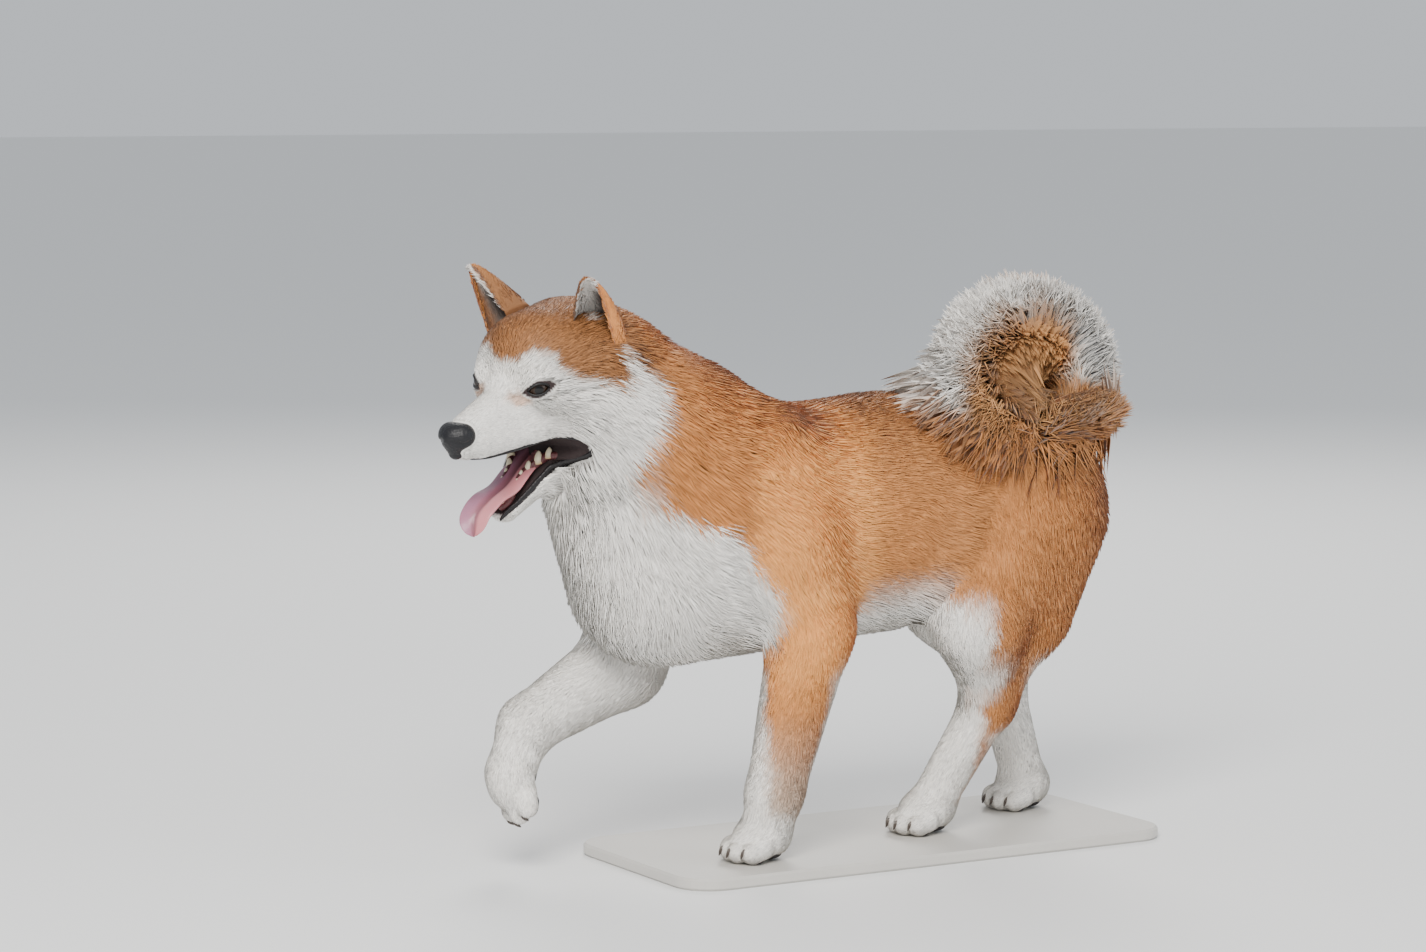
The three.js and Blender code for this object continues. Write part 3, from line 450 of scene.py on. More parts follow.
def distance_to_flesh(points, to_skin):
    """Signed distance to the skin, or with to_skin 0 to the tips of the coat, for points (n, 3)."""
    x, y, z = points.T
    d = np.full(len(points), 1e3)
    for piece in body_bars:
        d = soft_min(d, distance_to_bar(piece, x, y, z, to_skin * piece["depth"]), piece["blend"])
    tail = np.full(len(points), 1e3)
    for piece in tail_bars:
        tail = soft_min(tail, distance_to_bar(piece, x, y, z, to_skin * piece["depth"]), TAIL_BLEND)
    d = soft_min(d, tail, 8)
    near = np.linalg.norm(points - from_head(HEAD_MIDDLE), axis=1) < 190
    hx, hy, hz = to_head(points[near]).T
    d[near] = carve_head(d[near], hx, hy, hz, to_skin)
    return d


def carve_head(d, x, y, z, to_skin):
    """d with the skull and the jaw blended in, and the mouth and eye openings cut out, in head places."""
    skull = np.full(d.shape, 1e3)
    for piece in skull_bars:
        skull = soft_min(skull, distance_to_bar(piece, x, y, z, to_skin * piece["depth"]), piece["blend"])
    for side in (-1, 1):
        centre = eye_frame(side)[0]
        around = np.sqrt((x - centre[0]) ** 2 + (y - centre[1]) ** 2 + (z - centre[2]) ** 2)
        skull = soft_min(skull, around - LID_REACH + 0.7 * to_skin, 6)
    d = soft_min(d, skull, HEAD_BLEND)
    jaw = np.full(d.shape, 1e3)
    for piece in jaw_bars:
        jaw = soft_min(jaw, distance_to_bar(piece, x, y, z, to_skin * piece["depth"]), piece["blend"])
    d = soft_min(d, jaw, JAW_BLEND)
    d = soft_max(d, -distance_to_mouth(x, z), 3)
    for side in (-1, 1):
        d = soft_max(d, -distance_to_eye_opening(x, y, z, side), 1.2)
    return d


def skin_field(axes):
    """The skin's distance on a grid. Each bar is worked out only in the block of the grid that it can reach,
    because further off it changes nothing."""
    field = np.full([len(axis) for axis in axes], 1e3, dtype=np.float32)
    for piece in body_bars + tail_bars:
        spread = max(piece["wide"], 1) * max(piece["ra"], piece["rb"]) + 22
        low = np.minimum(piece["a"], piece["b"]) - spread
        high = np.maximum(piece["a"], piece["b"]) + spread
        block = tuple(slice(*np.searchsorted(axis, (lo, hi))) for axis, lo, hi in zip(axes, low, high))
        x, y, z = np.ix_(*(axis[part] for axis, part in zip(axes, block)))
        there = distance_to_bar(piece, x, y, z, piece["depth"])
        field[block] = soft_min(field[block], there, piece["blend"])
    middle = from_head(HEAD_MIDDLE)
    block = tuple(slice(*np.searchsorted(axis, (m - 125, m + 125))) for axis, m in zip(axes, middle))
    places = np.stack(np.meshgrid(*(axis[part] for axis, part in zip(axes, block)), indexing="ij"), axis=-1)
    hx, hy, hz = np.moveaxis(to_head(places), -1, 0)
    field[block] = carve_head(field[block], hx, hy, hz, 1)
    return field


def net_surface(field, axes):
    """The surface where the field is 0: each grid edge that it crosses gives a square that joins the four
    cells round the edge, and a cell's corner of it is the mean of the crossings on that cell's edges."""
    axes = [np.asarray(axis) for axis in axes]
    inside = field < 0
    shape = np.array(field.shape)
    stride = np.array([shape[1] * shape[2], shape[2], 1])
    cells, places, turned = [], [], []
    for m in range(3):
        here = [slice(0, n) for n in shape]
        there = list(here)
        here[m] = slice(0, shape[m] - 1)
        there[m] = slice(1, shape[m])
        at = np.argwhere(inside[tuple(here)] != inside[tuple(there)])
        p, q = (m + 1) % 3, (m + 2) % 3
        at = at[(at[:, p] > 0) & (at[:, q] > 0)]
        step = np.eye(3, dtype=int)[m]
        va = field[tuple(at.T)]
        vb = field[tuple((at + step).T)]
        place = np.stack([axes[k][at[:, k]] for k in range(3)], axis=1)
        place[:, m] += va / (va - vb) * (axes[m][at[:, m] + 1] - axes[m][at[:, m]])
        corners = [(1, 1), (0, 1), (0, 0), (1, 0)]
        ring = [at @ stride - i * stride[p] - j * stride[q] for i, j in corners]
        cells.append(np.stack(ring, axis=1))
        places.append(place)
        turned.append(va < 0)
    cells = np.concatenate(cells)
    places = np.concatenate(places)
    turned = np.concatenate(turned)
    names, numbers = np.unique(cells, return_inverse=True)
    numbers = numbers.reshape(cells.shape)
    count = np.bincount(numbers.ravel(), minlength=len(names))
    points = np.stack([
        np.bincount(numbers.ravel(), np.repeat(places[:, m], 4), len(names)) / count for m in range(3)
    ], axis=1)
    faces = np.where(turned[:, None], numbers, numbers[:, ::-1])
    return points, faces


def slope_of(distance, points, step=0.4):
    """Signed distance at points and its slope, by small steps along x, y and z."""
    d = distance(points)
    slope = np.stack([(distance(points + step * np.eye(3)[m]) - d) / step for m in range(3)], axis=1)
    return d, slope


def grid_line(low, high, coarse, fine, fine_from, fine_to):
    """Grid places from low to high, coarse steps apart, and fine steps apart from fine_from to fine_to."""
    before = np.arange(low, fine_from, coarse)
    middle = np.arange(fine_from, fine_to, fine)
    after = np.arange(fine_to, high, coarse)
    return np.concatenate([before, middle, after])


SKIN_CELL = 4.2
HEAD_CELL = 1.6
skin_axes = (
    grid_line(-426, 296, SKIN_CELL, HEAD_CELL, -402, -232),
    grid_line(-110, 110, 3.4, HEAD_CELL, -76, 58),
    grid_line(-6, 486, SKIN_CELL, HEAD_CELL, 284, 456),
)
skin_points, skin_faces = net_surface(skin_field(skin_axes), skin_axes)


def skin_distance(points):
    """Signed distance to the skin."""
    return distance_to_flesh(points, 1)


def tip_distance(points):
    """Signed distance to the surface that the coat's tips reach."""
    return distance_to_flesh(points, 0)


off, skin_slope = slope_of(skin_distance, skin_points)
square = np.maximum((skin_slope**2).sum(axis=1), 0.3)
skin_points = skin_points - np.clip(off / square, -2, 2)[:, None] * skin_slope
skin_normals = unit(skin_slope)

# Markings: red above, cream below and inside, as in the breed. The borders on the flank are curves in side
# view, the same on both sides; the borders on the face are curves in the head's frame.
RED = np.array([0.62, 0.245, 0.068])
# Painted light: a brighter red, laid on the shoulders as if lit.
PAINTED_LIGHT_RED = np.array([0.86, 0.375, 0.10])
TAN = np.array([0.42, 0.180, 0.062])
DARK_RED = np.array([0.30, 0.130, 0.048])
CREAM = np.array([0.92, 0.89, 0.84])
GOLD = np.array([0.64, 0.34, 0.14])
GREY = np.array([0.52, 0.44, 0.36])
GUM = np.array([0.022, 0.011, 0.011])

# Rows of (height, x): cream is ahead of the chest's border, and behind the breech's.
CHEST_BORDER = [
    (154, -101), (184, -102), (234, -115), (262, -134), (281, -156), (302, -190), (314, -216), (351, -222),
    (380, -212), (430, -236),
]
BREECH_BORDER = [(150, 172), (186, 196), (253, 226), (310, 246), (340, 262)]
# Rows of (x, height): cream is below the belly's border.
BELLY_BORDER = [(-110, 148), (-45, 164), (57, 200), (90, 213), (110, 213), (160, 196)]
# Rows of (height, distance ahead of the bones): how far the cream of a hind leg's front reaches.
STIFLE_BORDER = [(22, 20), (60, 14), (80, 5), (125, -18), (135, -21), (160, -27), (205, -18), (228, -36)]
# Rows of (distance from the middle, height): the crown's red ends there, above the brows and the cheeks.
CROWN_BORDER = [(0, 12), (7, 16), (17, 23), (31, 21), (36, 11), (45, 3), (61, 0), (75, 2)]
# Rows of (height, x): the cheeks' cream ends there, both in the head's frame.
CHEEK_BORDER = [(-112, 56), (-93, 49), (-66, 44), (-49, 48), (-30, 60), (-11, 67), (11, 64), (23, 54)]
# Rows of (x, distance): how far the black of the lower lip reaches past the mouth's opening.
LIP_EDGE = [(-40, 1.5), (-20, 2.2), (8, 3.2), (22, 4.5), (30, 6.0)]
TAIL_CURL = np.array([178.0, -30.0, 386.0])
# Along the creases the coat's tips lie lower, and its colour is painted darker there as shade.
CREASES = [
    # where the shoulder meets the neck, and the hollow ahead of the thigh
    ([(-122, 60, 382), (-136, 72, 345), (-148, 76, 305), (-155, 76, 262)], 8, 0.40),
    ([(85, 70, 304), (84, 76, 270), (80, 78, 232)], 9, 0.20),
    ([(158, 85, 262), (136, 88, 238), (120, 90, 214)], 9, 0.24),
]


def band(value, low, high):
    """0 below low, 1 above high, and a smooth rise between."""
    t = np.clip((value - low) / (high - low), 0, 1)
    return t * t * (3 - 2 * t)


def border(rows, value):
    """The height of a broken line through rows of (place, height), at each value."""
    rows = np.array(rows, dtype=np.float64)
    return np.interp(value, rows[:, 0], rows[:, 1])


def ripple(points, wave, seed):
    """Soft unevenness from -1 to 1: a mean of sines that run in several ways through space."""
    draw = np.random.default_rng(seed)
    ways = draw.normal(size=(6, 3))
    ways *= (2 * np.pi / wave) * draw.uniform(0.6, 1.5, size=(6, 1)) / np.linalg.norm(ways, axis=1)[:, None]
    return np.sin(points @ ways.T + draw.uniform(0, 6.28, size=6)).mean(axis=1) * 1.6


def in_oval(points, centre, half_sizes, soft=0.35):
    """1 inside an oval and 0 outside, with a soft edge."""
    reach = np.linalg.norm((points - np.array(centre)) / np.array(half_sizes), axis=1)
    return 1 - band(reach, 1 - soft, 1 + soft)


def on_one_side(points):
    """Points with those of the left side mirrored to the right."""
    return points * np.array([1, 0, 1]) + np.abs(points) * np.array([0, 1, 0])


def crease_depth_and_shade(points):
    """How deep the coat parts at places on either side, and how much painted shade darkens its colour there:
    each crease is a soft furrow round a broken line.
    """
    places = on_one_side(points)
    depth = np.zeros(len(points))
    for line, half_width, strength in CREASES:
        line = np.array(line, dtype=np.float64)
        for a, b in zip(line[:-1], line[1:]):
            h = np.clip(((places - a) @ (b - a)) / ((b - a) @ (b - a)), 0, 1)
            off = np.linalg.norm(places - a - h[:, None] * (b - a), axis=1)
            depth = np.maximum(depth, strength * np.exp(-((off / half_width) ** 2)))
    return depth


def leg_line(leg, z):
    """The x of the bones from the knee down, at heights z."""
    return np.interp(z, [leg["knuckle"][2], leg["hock"][2], leg["knee"][2]],
                     [leg["knuckle"][0], leg["hock"][0], leg["knee"][0]])


def pale_on_body(places, normals):
    """How cream the coat is on trunk and legs: 1 cream, 0 red."""
    x, y, z = places.T
    outwards = normals[:, 1] * np.sign(y)
    pale = band(border(CHEST_BORDER, z) - x, -6, 6) * (1 - band(z, 425, 445))
    under = band(-normals[:, 2], 0.25, 0.7) * (1 - band(z, 225, 260))
    pale = np.maximum(pale, under)
    belly = band(border(BELLY_BORDER, x) - z, -22, 14) * band(x, -60, -44) * (1 - band(x, 88, 104))
    pale = np.maximum(pale, belly)
    fore = (1 - band(z, 160, 185)) * (1 - band(x, -20, 0))
    inner = fore * (1 - band(outwards, -0.15, 0.2))
    rear = fore * band(x - np.interp(z, [22, 54, 188], [-99, -92, -62]), 14, 24) * (y < 0)
    pale = np.maximum(pale, np.maximum(inner, rear))
    raised_outside = band(y, 60, 70) * band(x, -226, -206) * band(z, 90, 130) * (1 - band(z, 262, 300))
    pale *= 1 - raised_outside * band(outwards, 0.2, 0.6) * (1 - band(x, -60, -40))
    for name in ("hindleg_left", "hindleg_right"):
        leg = LEGS[name]
        there = band(x, 30, 50) * (y * leg["hock"][1] > 0)
        front = band(leg_line(leg, z) + border(STIFLE_BORDER, z) - x, -6, 6) * (1 - band(z, 214, 236))
        inside = (1 - band(outwards, 0.0, 0.4)) * (1 - band(z, 205, 240))
        pale = np.maximum(pale, there * np.maximum(front, inside))
    breech = band(x - border(BREECH_BORDER, z), -8, 14) * band(z, 138, 160) * (1 - band(z, 318, 345))
    pale = np.maximum(pale, 0.75 * breech)
    for leg in LEGS.values():
        from_knuckle = np.linalg.norm(places - np.array(leg["knuckle"]), axis=1)
        pale = np.maximum(pale, 1 - band(from_knuckle, 26, 46))
    return pale


def pale_on_head(head):
    """How cream the coat is on the face, at places in the head's frame."""
    x, y, z = head.T
    crown = border(CROWN_BORDER, np.abs(y)) + 22 * band(x, 42, 50)
    pale = band(crown - z, -3, 3) * band(border(CHEEK_BORDER, z) - x, -5, 5)
    streak = in_oval(on_one_side(head), (-21, 18, -8), (13, 8, 6))
    return pale * (1 - 0.6 * streak)


def coat_color(points, normals):
    """The coat's colour at places on the skin, with painted light on the shoulders and painted shade in the
    creases, and how cream it is there.
    """
    places = points + 3 * ripple(points, 26, 3)[:, None] + 1.5 * ripple(points, 7, 4)[:, None]
    x, y, z = places.T
    head = to_head(places)
    on_head = 1 - band(np.linalg.norm(head - np.array((22, 0, -24)), axis=1), 84, 108)
    pale = pale_on_body(places, normals)
    pale = pale + (pale_on_head(head) - pale) * on_head
    back = band(z, 262, 366) * band(x, -90, 0) * (1 - band(x, 190, 225))
    flank = band(x, -50, 40) * 0.25
    red = RED + (TAN - RED) * np.maximum(back * 0.85, flank)[:, None]
    # Painted light: the shoulders, on both sides, are painted a brighter red as if lit.
    shoulder = band(x, -150, -128) * (1 - band(x, -44, -12)) * band(z, 120, 190) * (1 - band(z, 330, 376))
    red = red + (PAINTED_LIGHT_RED - red) * shoulder[:, None]
    crown = on_head * (1 - band(head[:, 0], 62, 92)) * band(head[:, 2], -20, 4)
    red = red + (DARK_RED - red) * (crown * 0.85)[:, None]
    low_leg = (1 - band(z, 50, 150)) * (1 - band(x, 0, 40))
    red = red + (GREY - red) * (low_leg * 0.8)[:, None]
    out_x = 0.87 * (x - TAIL_CURL[0]) - 0.5 * (y - TAIL_CURL[1])
    out_z = z - TAIL_CURL[2]
    far = np.hypot(out_x, out_z) + 1e-6
    sideways = np.where(out_x > 0, 32, 60) * (out_x / far) ** 2
    upwards = np.where(out_z > 0, 55, 100) * (out_z / far) ** 2
    outside = band(far - sideways - upwards, -9, 11)
    outside *= 1 - band(x, 186, 206) * (1 - band(z, 366, 384))
    on_tail = in_oval(places, (170, -24, 388), (110, 72, 78), 0.12) * band(z, 330, 350)
    red = red + (GOLD - red) * (0.75 * on_tail)[:, None]
    pale = pale + (outside - pale) * on_tail
    color = red + (CREAM - red) * pale[:, None]
    # Painted shade: the coat's colour is darker along the creases, but not on the tail.
    color *= (1 - crease_depth_and_shade(points) * (1 - on_tail))[:, None]
    return color, pale


def bare_skin(points):
    """1 on the black lips and on the dark rims of the eyes, where no hair grows, and 0 away from them."""
    head = to_head(points)
    x, y, z = head.T
    reach = np.where((z > -50) & (x < 16), 1.2, border(LIP_EDGE, x))
    near = (np.abs(y) < 54) & (np.linalg.norm(head, axis=1) < HEAD_SPAN)
    dark = (1 - band(distance_to_mouth(x, z) - reach, -0.7, 0.7)) * near
    for side in (-1, 1):
        dark = np.maximum(dark, 1 - band(distance_to_eye_rim(x, y, z, side), -0.5, 0.6))
    return dark


def distance_to_eye_rim(x, y, z, side):
    """Roughly the distance to the dark rim of an eye, negative on it: a longer and wider almond than the
    opening, drawn out at both corners."""
    centre, facing, aside = eye_frame(side)
    ex, ey, ez = x - centre[0], y - centre[1], z - centre[2]
    across = ex * aside[0] + ey * aside[1]
    u = across / np.where(across > 0, RIM_REACH[1], RIM_REACH[0])
    v = ez - LID_TILT * across
    arch = np.maximum(1 - u * u, -2)
    outside = np.maximum(v - RIM_HEIGHT[0] * arch, -RIM_HEIGHT[1] * arch - v)
    behind = 2 - ex * facing[0] - ey * facing[1]
    far = np.sqrt(ex * ex + ey * ey + ez * ez) - 21
    return np.maximum(np.maximum(outside, far), behind)


REGION_NAMES = ["trunk", "head", "jaw", *LEGS, *(f"tail_{i}" for i in range(5))]


def coat_at(points):
    """The lie of the coat, its depth, the length and width of its tufts and the region, at places near the
    skin: the mean over the bars, in which the nearest count most."""
    x, y, z = points.T
    near_head = np.linalg.norm(points - from_head(HEAD_MIDDLE), axis=1) < 175
    hx, hy, hz = to_head(points).T
    bars = body_bars + tail_bars + skull_bars + jaw_bars
    distances = []
    for piece in bars:
        if piece["region"] in ("head", "jaw"):
            d = distance_to_bar(piece, hx, hy, hz, piece["depth"])
            distances.append(np.where(near_head, d, 1e3))
        else:
            distances.append(distance_to_bar(piece, x, y, z, piece["depth"]))
    distances = np.array(distances, dtype=np.float32)
    nearest = distances.argmin(axis=0)
    weights = np.exp(-(distances - distances.min(axis=0)) / 7)
    weights /= weights.sum(axis=0)
    lies = np.array([
        HEAD_TURN @ piece["lie"] if piece["region"] in ("head", "jaw") else piece["lie"] for piece in bars
    ])
    hair = np.array([piece["hair"] for piece in bars])
    region_of = np.array([REGION_NAMES.index(piece["region"]) for piece in bars])
    return weights.T @ lies, weights.T @ hair, region_of[nearest]


skin_lie, skin_hair, skin_region = coat_at(skin_points)
skin_color, _ = coat_color(skin_points, skin_normals)
skin_bare = bare_skin(skin_points)


def shader_link(material, source, output, target, socket):
    """Joins an output of one node to a socket of another."""
    material.node_tree.links.new(source.outputs[output], target.inputs[socket])


def streaked_material(name, roughness, scale, contrast=0.1, bump=0.0, depth=0.0008, stretch=(1, 1, 1)):
    """A surface whose colour is the piece's own marking attribute, with fine lights and darks from noise,
    and bump from the same noise. stretch draws the noise out along an axis."""
    material, shader = plain_material(name, (0.6, 0.3, 0.1, 1), roughness)
    nodes = material.node_tree.nodes
    marking = nodes.new("ShaderNodeAttribute")
    marking.attribute_name = "marking"
    coordinates = nodes.new("ShaderNodeTexCoord")
    mapping = nodes.new("ShaderNodeMapping")
    mapping.inputs["Scale"].default_value = stretch
    shader_link(material, coordinates, "Object", mapping, "Vector")
    noise = nodes.new("ShaderNodeTexNoise")
    noise.inputs["Scale"].default_value = scale
    noise.inputs["Detail"].default_value = 3
    shader_link(material, mapping, "Vector", noise, "Vector")
    ramp = nodes.new("ShaderNodeMapRange")
    ramp.inputs["To Min"].default_value = 1 - contrast
    ramp.inputs["To Max"].default_value = 1 + contrast
    shader_link(material, noise, "Fac", ramp, "Value")
    shade = nodes.new("ShaderNodeVectorMath")
    shade.operation = "SCALE"
    shader_link(material, marking, "Color", shade, 0)
    shader_link(material, ramp, "Result", shade, "Scale")
    shader_link(material, shade, "Vector", shader, "Base Color")
    if bump:
        relief = nodes.new("ShaderNodeBump")
        relief.inputs["Strength"].default_value = bump
        relief.inputs["Distance"].default_value = depth
        shader_link(material, noise, "Fac", relief, "Height")
        shader_link(material, relief, "Normal", shader, "Normal")
    return material, shader


def paint(piece, colors):
    """Writes one colour for each point of a piece as its marking attribute."""
    layer = piece.data.color_attributes.new("marking", "FLOAT_COLOR", "POINT")
    full = np.ones((len(colors), 4), dtype=np.float32)
    full[:, :3] = colors
    layer.data.foreach_set("color", full.ravel())


# Unwrap of the skin: each region is seen from its six sides, and the views stand in rows in one square.
CHART_GAP = 5.0


def seen_flat(points, charts):
    """The two coordinates of each point in the view that its chart takes."""
    way = (charts % 6) // 2
    rows = np.arange(len(points))
    return np.stack([points[rows, (way + 1) % 3], points[rows, (way + 2) % 3]], axis=1)


face_corners = skin_points[skin_faces]
face_crosses = np.cross(face_corners[:, 2] - face_corners[:, 0], face_corners[:, 3] - face_corners[:, 1])
face_way = np.abs(face_crosses).argmax(axis=1)
face_ahead = face_crosses[np.arange(len(face_way)), face_way] > 0
face_charts = skin_region[skin_faces[:, 0]] * 6 + face_way * 2 + face_ahead
chart_low = np.full((6 * len(REGION_NAMES), 2), 1e9)
chart_high = -chart_low
for m in range(4):
    flat = seen_flat(face_corners[:, m], face_charts)
    np.minimum.at(chart_low, face_charts, flat)
    np.maximum.at(chart_high, face_charts, flat)
chart_size = np.maximum(chart_high - chart_low, 0) + CHART_GAP
used_charts = np.unique(face_charts)
square_side = math.sqrt(chart_size[used_charts].prod(axis=1).sum() * 1.12)
chart_place = np.zeros(chart_low.shape)
across, up, row_height = 0.0, 0.0, 0.0
for chart in sorted(used_charts, key=lambda c: -chart_size[c, 1]):
    if across + chart_size[chart, 0] > square_side:
        across, up, row_height = 0.0, up + row_height, 0.0
    chart_place[chart] = (across, up)
    across += chart_size[chart, 0]
    row_height = max(row_height, chart_size[chart, 1])
square_side = max(square_side, up + row_height)


def unwrap(points, charts):
    """Places on the unwrap for points that belong to the given charts."""
    flat = seen_flat(points, charts) - chart_low[charts]
    return (flat + chart_place[charts] + CHART_GAP / 2) / square_side


def write_unwrap(piece, places):
    """Writes one place for each face corner of a piece into its OFBake map."""
    layer = piece.data.uv_layers.new(name="OFBake")
    layer.data.foreach_set("uv", np.ascontiguousarray(places, dtype=np.float32).ravel())


# Painted shade: the skin, which stands for the wool under the tufts, is painted darker than the coat, as the
# shade down among the hair.
UNDERCOAT_PAINTED_SHADE = 0.86
skin_material, _ = streaked_material("skin_coat", 0.8, 420, 0.12, 0.5)
skin = write_mesh("skin", skin_points * MM + ORIGIN, skin_faces, skin_material)
# The skin gets the coat's colour darkened by the painted shade, and near black on the bare lips and eye
# rims.
paint(skin, skin_color * UNDERCOAT_PAINTED_SHADE + (GUM - skin_color * UNDERCOAT_PAINTED_SHADE) * skin_bare[:, None])
write_unwrap(skin, unwrap(skin_points[skin_faces.ravel()], np.repeat(face_charts, 4)))
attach(skin, "root")
FLESH_NODES = [
    "torso", "neck", "head", "muzzle", "lower_jaw", "tail",
    *(f"foreleg_{side}_{part}" for side in ("left", "right") for part in ("shoulder", "forearm", "paw")),
    *(f"hindleg_{side}_{part}" for side in ("left", "right") for part in ("thigh", "shank", "paw")),
]
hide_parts(*FLESH_NODES)


# Nose: bare black skin, moist and pebbled, with a comma-shaped nostril on each side and a groove down the
# middle to the lip. It is netted from its own distance, finer than the skin.
NOSE_CELL = 0.9
NOSE_BARS = [
    bar((-69, -6, -23), (-69, 6, -23), 9.8, 9.8, 1, 6),
    bar((-74, 0, -24), (-72, 0, -36), 9.5, 6, 1, 6),
]
NOSE_CUTS = [bar((-84.5, 0, -27), (-80, 0, -44), 0.7, 0.9)]
for side in (-1, 1):
    NOSE_CUTS.append(bar((-85, side * 4.6, -24), (-77, side * 12, -28), 2.5, 2.1))
    NOSE_CUTS.append(bar((-78, side * 12.5, -28), (-70, side * 16.5, -25), 1.5, 0.7))


def distance_to_nose(x, y, z):
    """Distance to the nose in head places: its bars run together, and the nostrils are rounded cuts."""
    d = np.full(x.shape, 1e3)
    for piece in NOSE_BARS:
        d = soft_min(d, distance_to_bar(piece, x, y, z), 6)
    for piece in NOSE_CUTS:
        d = soft_max(d, -distance_to_bar(piece, x, y, z), 1.5)
    return d


nose_axes = [np.arange(low, high, NOSE_CELL) for low, high in ((-90, -50), (-20, 20), (-46, -8))]
nose_grid = np.meshgrid(*nose_axes, indexing="ij")
nose_points, nose_faces = net_surface(distance_to_nose(*nose_grid), nose_axes)
nose_off, nose_slope = slope_of(lambda points: distance_to_nose(*points.T), nose_points)
nose_points = nose_points - np.clip(nose_off, -0.6, 0.6)[:, None] * unit(nose_slope)


def pebbled_material(name, color, roughness, scale, depth):
    """Moist bare skin: small pebbles from a cell pattern, duller in the grooves between them."""
    material, shader = plain_material(name, color, roughness)
    nodes = material.node_tree.nodes
    coordinates = nodes.new("ShaderNodeTexCoord")
    cells = nodes.new("ShaderNodeTexVoronoi")
    cells.inputs["Scale"].default_value = scale
    shader_link(material, coordinates, "Object", cells, "Vector")
    ramp = nodes.new("ShaderNodeMapRange")
    ramp.inputs["From Max"].default_value = 0.7
    ramp.inputs["To Min"].default_value = roughness * 0.75
    ramp.inputs["To Max"].default_value = roughness * 1.5
    shader_link(material, cells, "Distance", ramp, "Value")
    shader_link(material, ramp, "Result", shader, "Roughness")
    shader.inputs["Specular IOR Level"].default_value = 0.4
    relief = nodes.new("ShaderNodeBump")
    relief.invert = True
    relief.inputs["Strength"].default_value = 0.6
    relief.inputs["Distance"].default_value = depth
    shader_link(material, cells, "Distance", relief, "Height")
    shader_link(material, relief, "Normal", shader, "Normal")
    return material


nose_material = pebbled_material("nose_skin", (0.006, 0.006, 0.008, 1), 0.36, 620, 0.0005)
nose = write_mesh("nose_leather", from_head(nose_points) * MM + ORIGIN, nose_faces, nose_material)
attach(nose, "root")
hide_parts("nose")


TUBE_SIDES = 14


def sweep(line, half_across, half_over, over_way, sides=TUBE_SIDES):
    """Rings round a line of points (n, 3): an ellipse in each plane across the line, of half size half_over
    towards over_way and half_across at right angles to it. Gives points (n, sides, 3)."""
    along = unit(np.gradient(line, axis=0))
    across = unit(np.cross(along, over_way))
    over = np.cross(across, along)
    angle = np.linspace(0, 2 * np.pi, sides, endpoint=False)[None, :, None]
    half_across = np.broadcast_to(half_across, len(line))[:, None, None]
    half_over = np.broadcast_to(half_over, len(line))[:, None, None]
    ring = across[:, None] * np.cos(angle) * half_across + over[:, None] * np.sin(angle) * half_over
    return line[:, None] + ring


def tube_faces(rings, sides, start=0):
    """Four-cornered faces between each ring and the next, and from its last point round to its first."""
    i, j = np.meshgrid(np.arange(rings - 1), np.arange(sides), indexing="ij")
    next_j = (j + 1) % sides
    corners = [i * sides + j, i * sides + next_j, (i + 1) * sides + next_j, (i + 1) * sides + j]
    return np.stack(corners, axis=-1).reshape(-1, 4) + start


def write_tubes(name, tubes, material, to_frame=from_head):
    """One mesh of several swept tubes, each an array (rings, sides, 3) whose end rings close to a point."""
    points, faces, start = [], [], 0
    for tube in tubes:
        faces.append(tube_faces(tube.shape[0], tube.shape[1], start))
        points.append(tube.reshape(-1, 3))
        start += tube.shape[0] * tube.shape[1]
    points = np.concatenate(points)
    return write_mesh(name, to_frame(points) * MM + ORIGIN, np.concatenate(faces), material)


def closed_ends(count, sharp=0.5):
    """Sizes along a tube that close it at both ends: from 0 up to 1 and down again, the ends round."""
    t = np.linspace(-1, 1, count)
    return np.maximum(1 - np.abs(t) ** (2 / sharp), 0.0) ** sharp


# Eyes: glassy balls behind the lids, the iris very dark brown round a black pupil, the cornea bulging a
# little. A thin black moist rim runs along each lid.
EYE_RINGS = 44
EYE_SIDES = 48
EYE_BALL = 10.5
PUPIL, IRIS = 0.30, 0.78
LID_RIMS = (1.05, 1.05 * 0.85)
LID_COUNT = 40

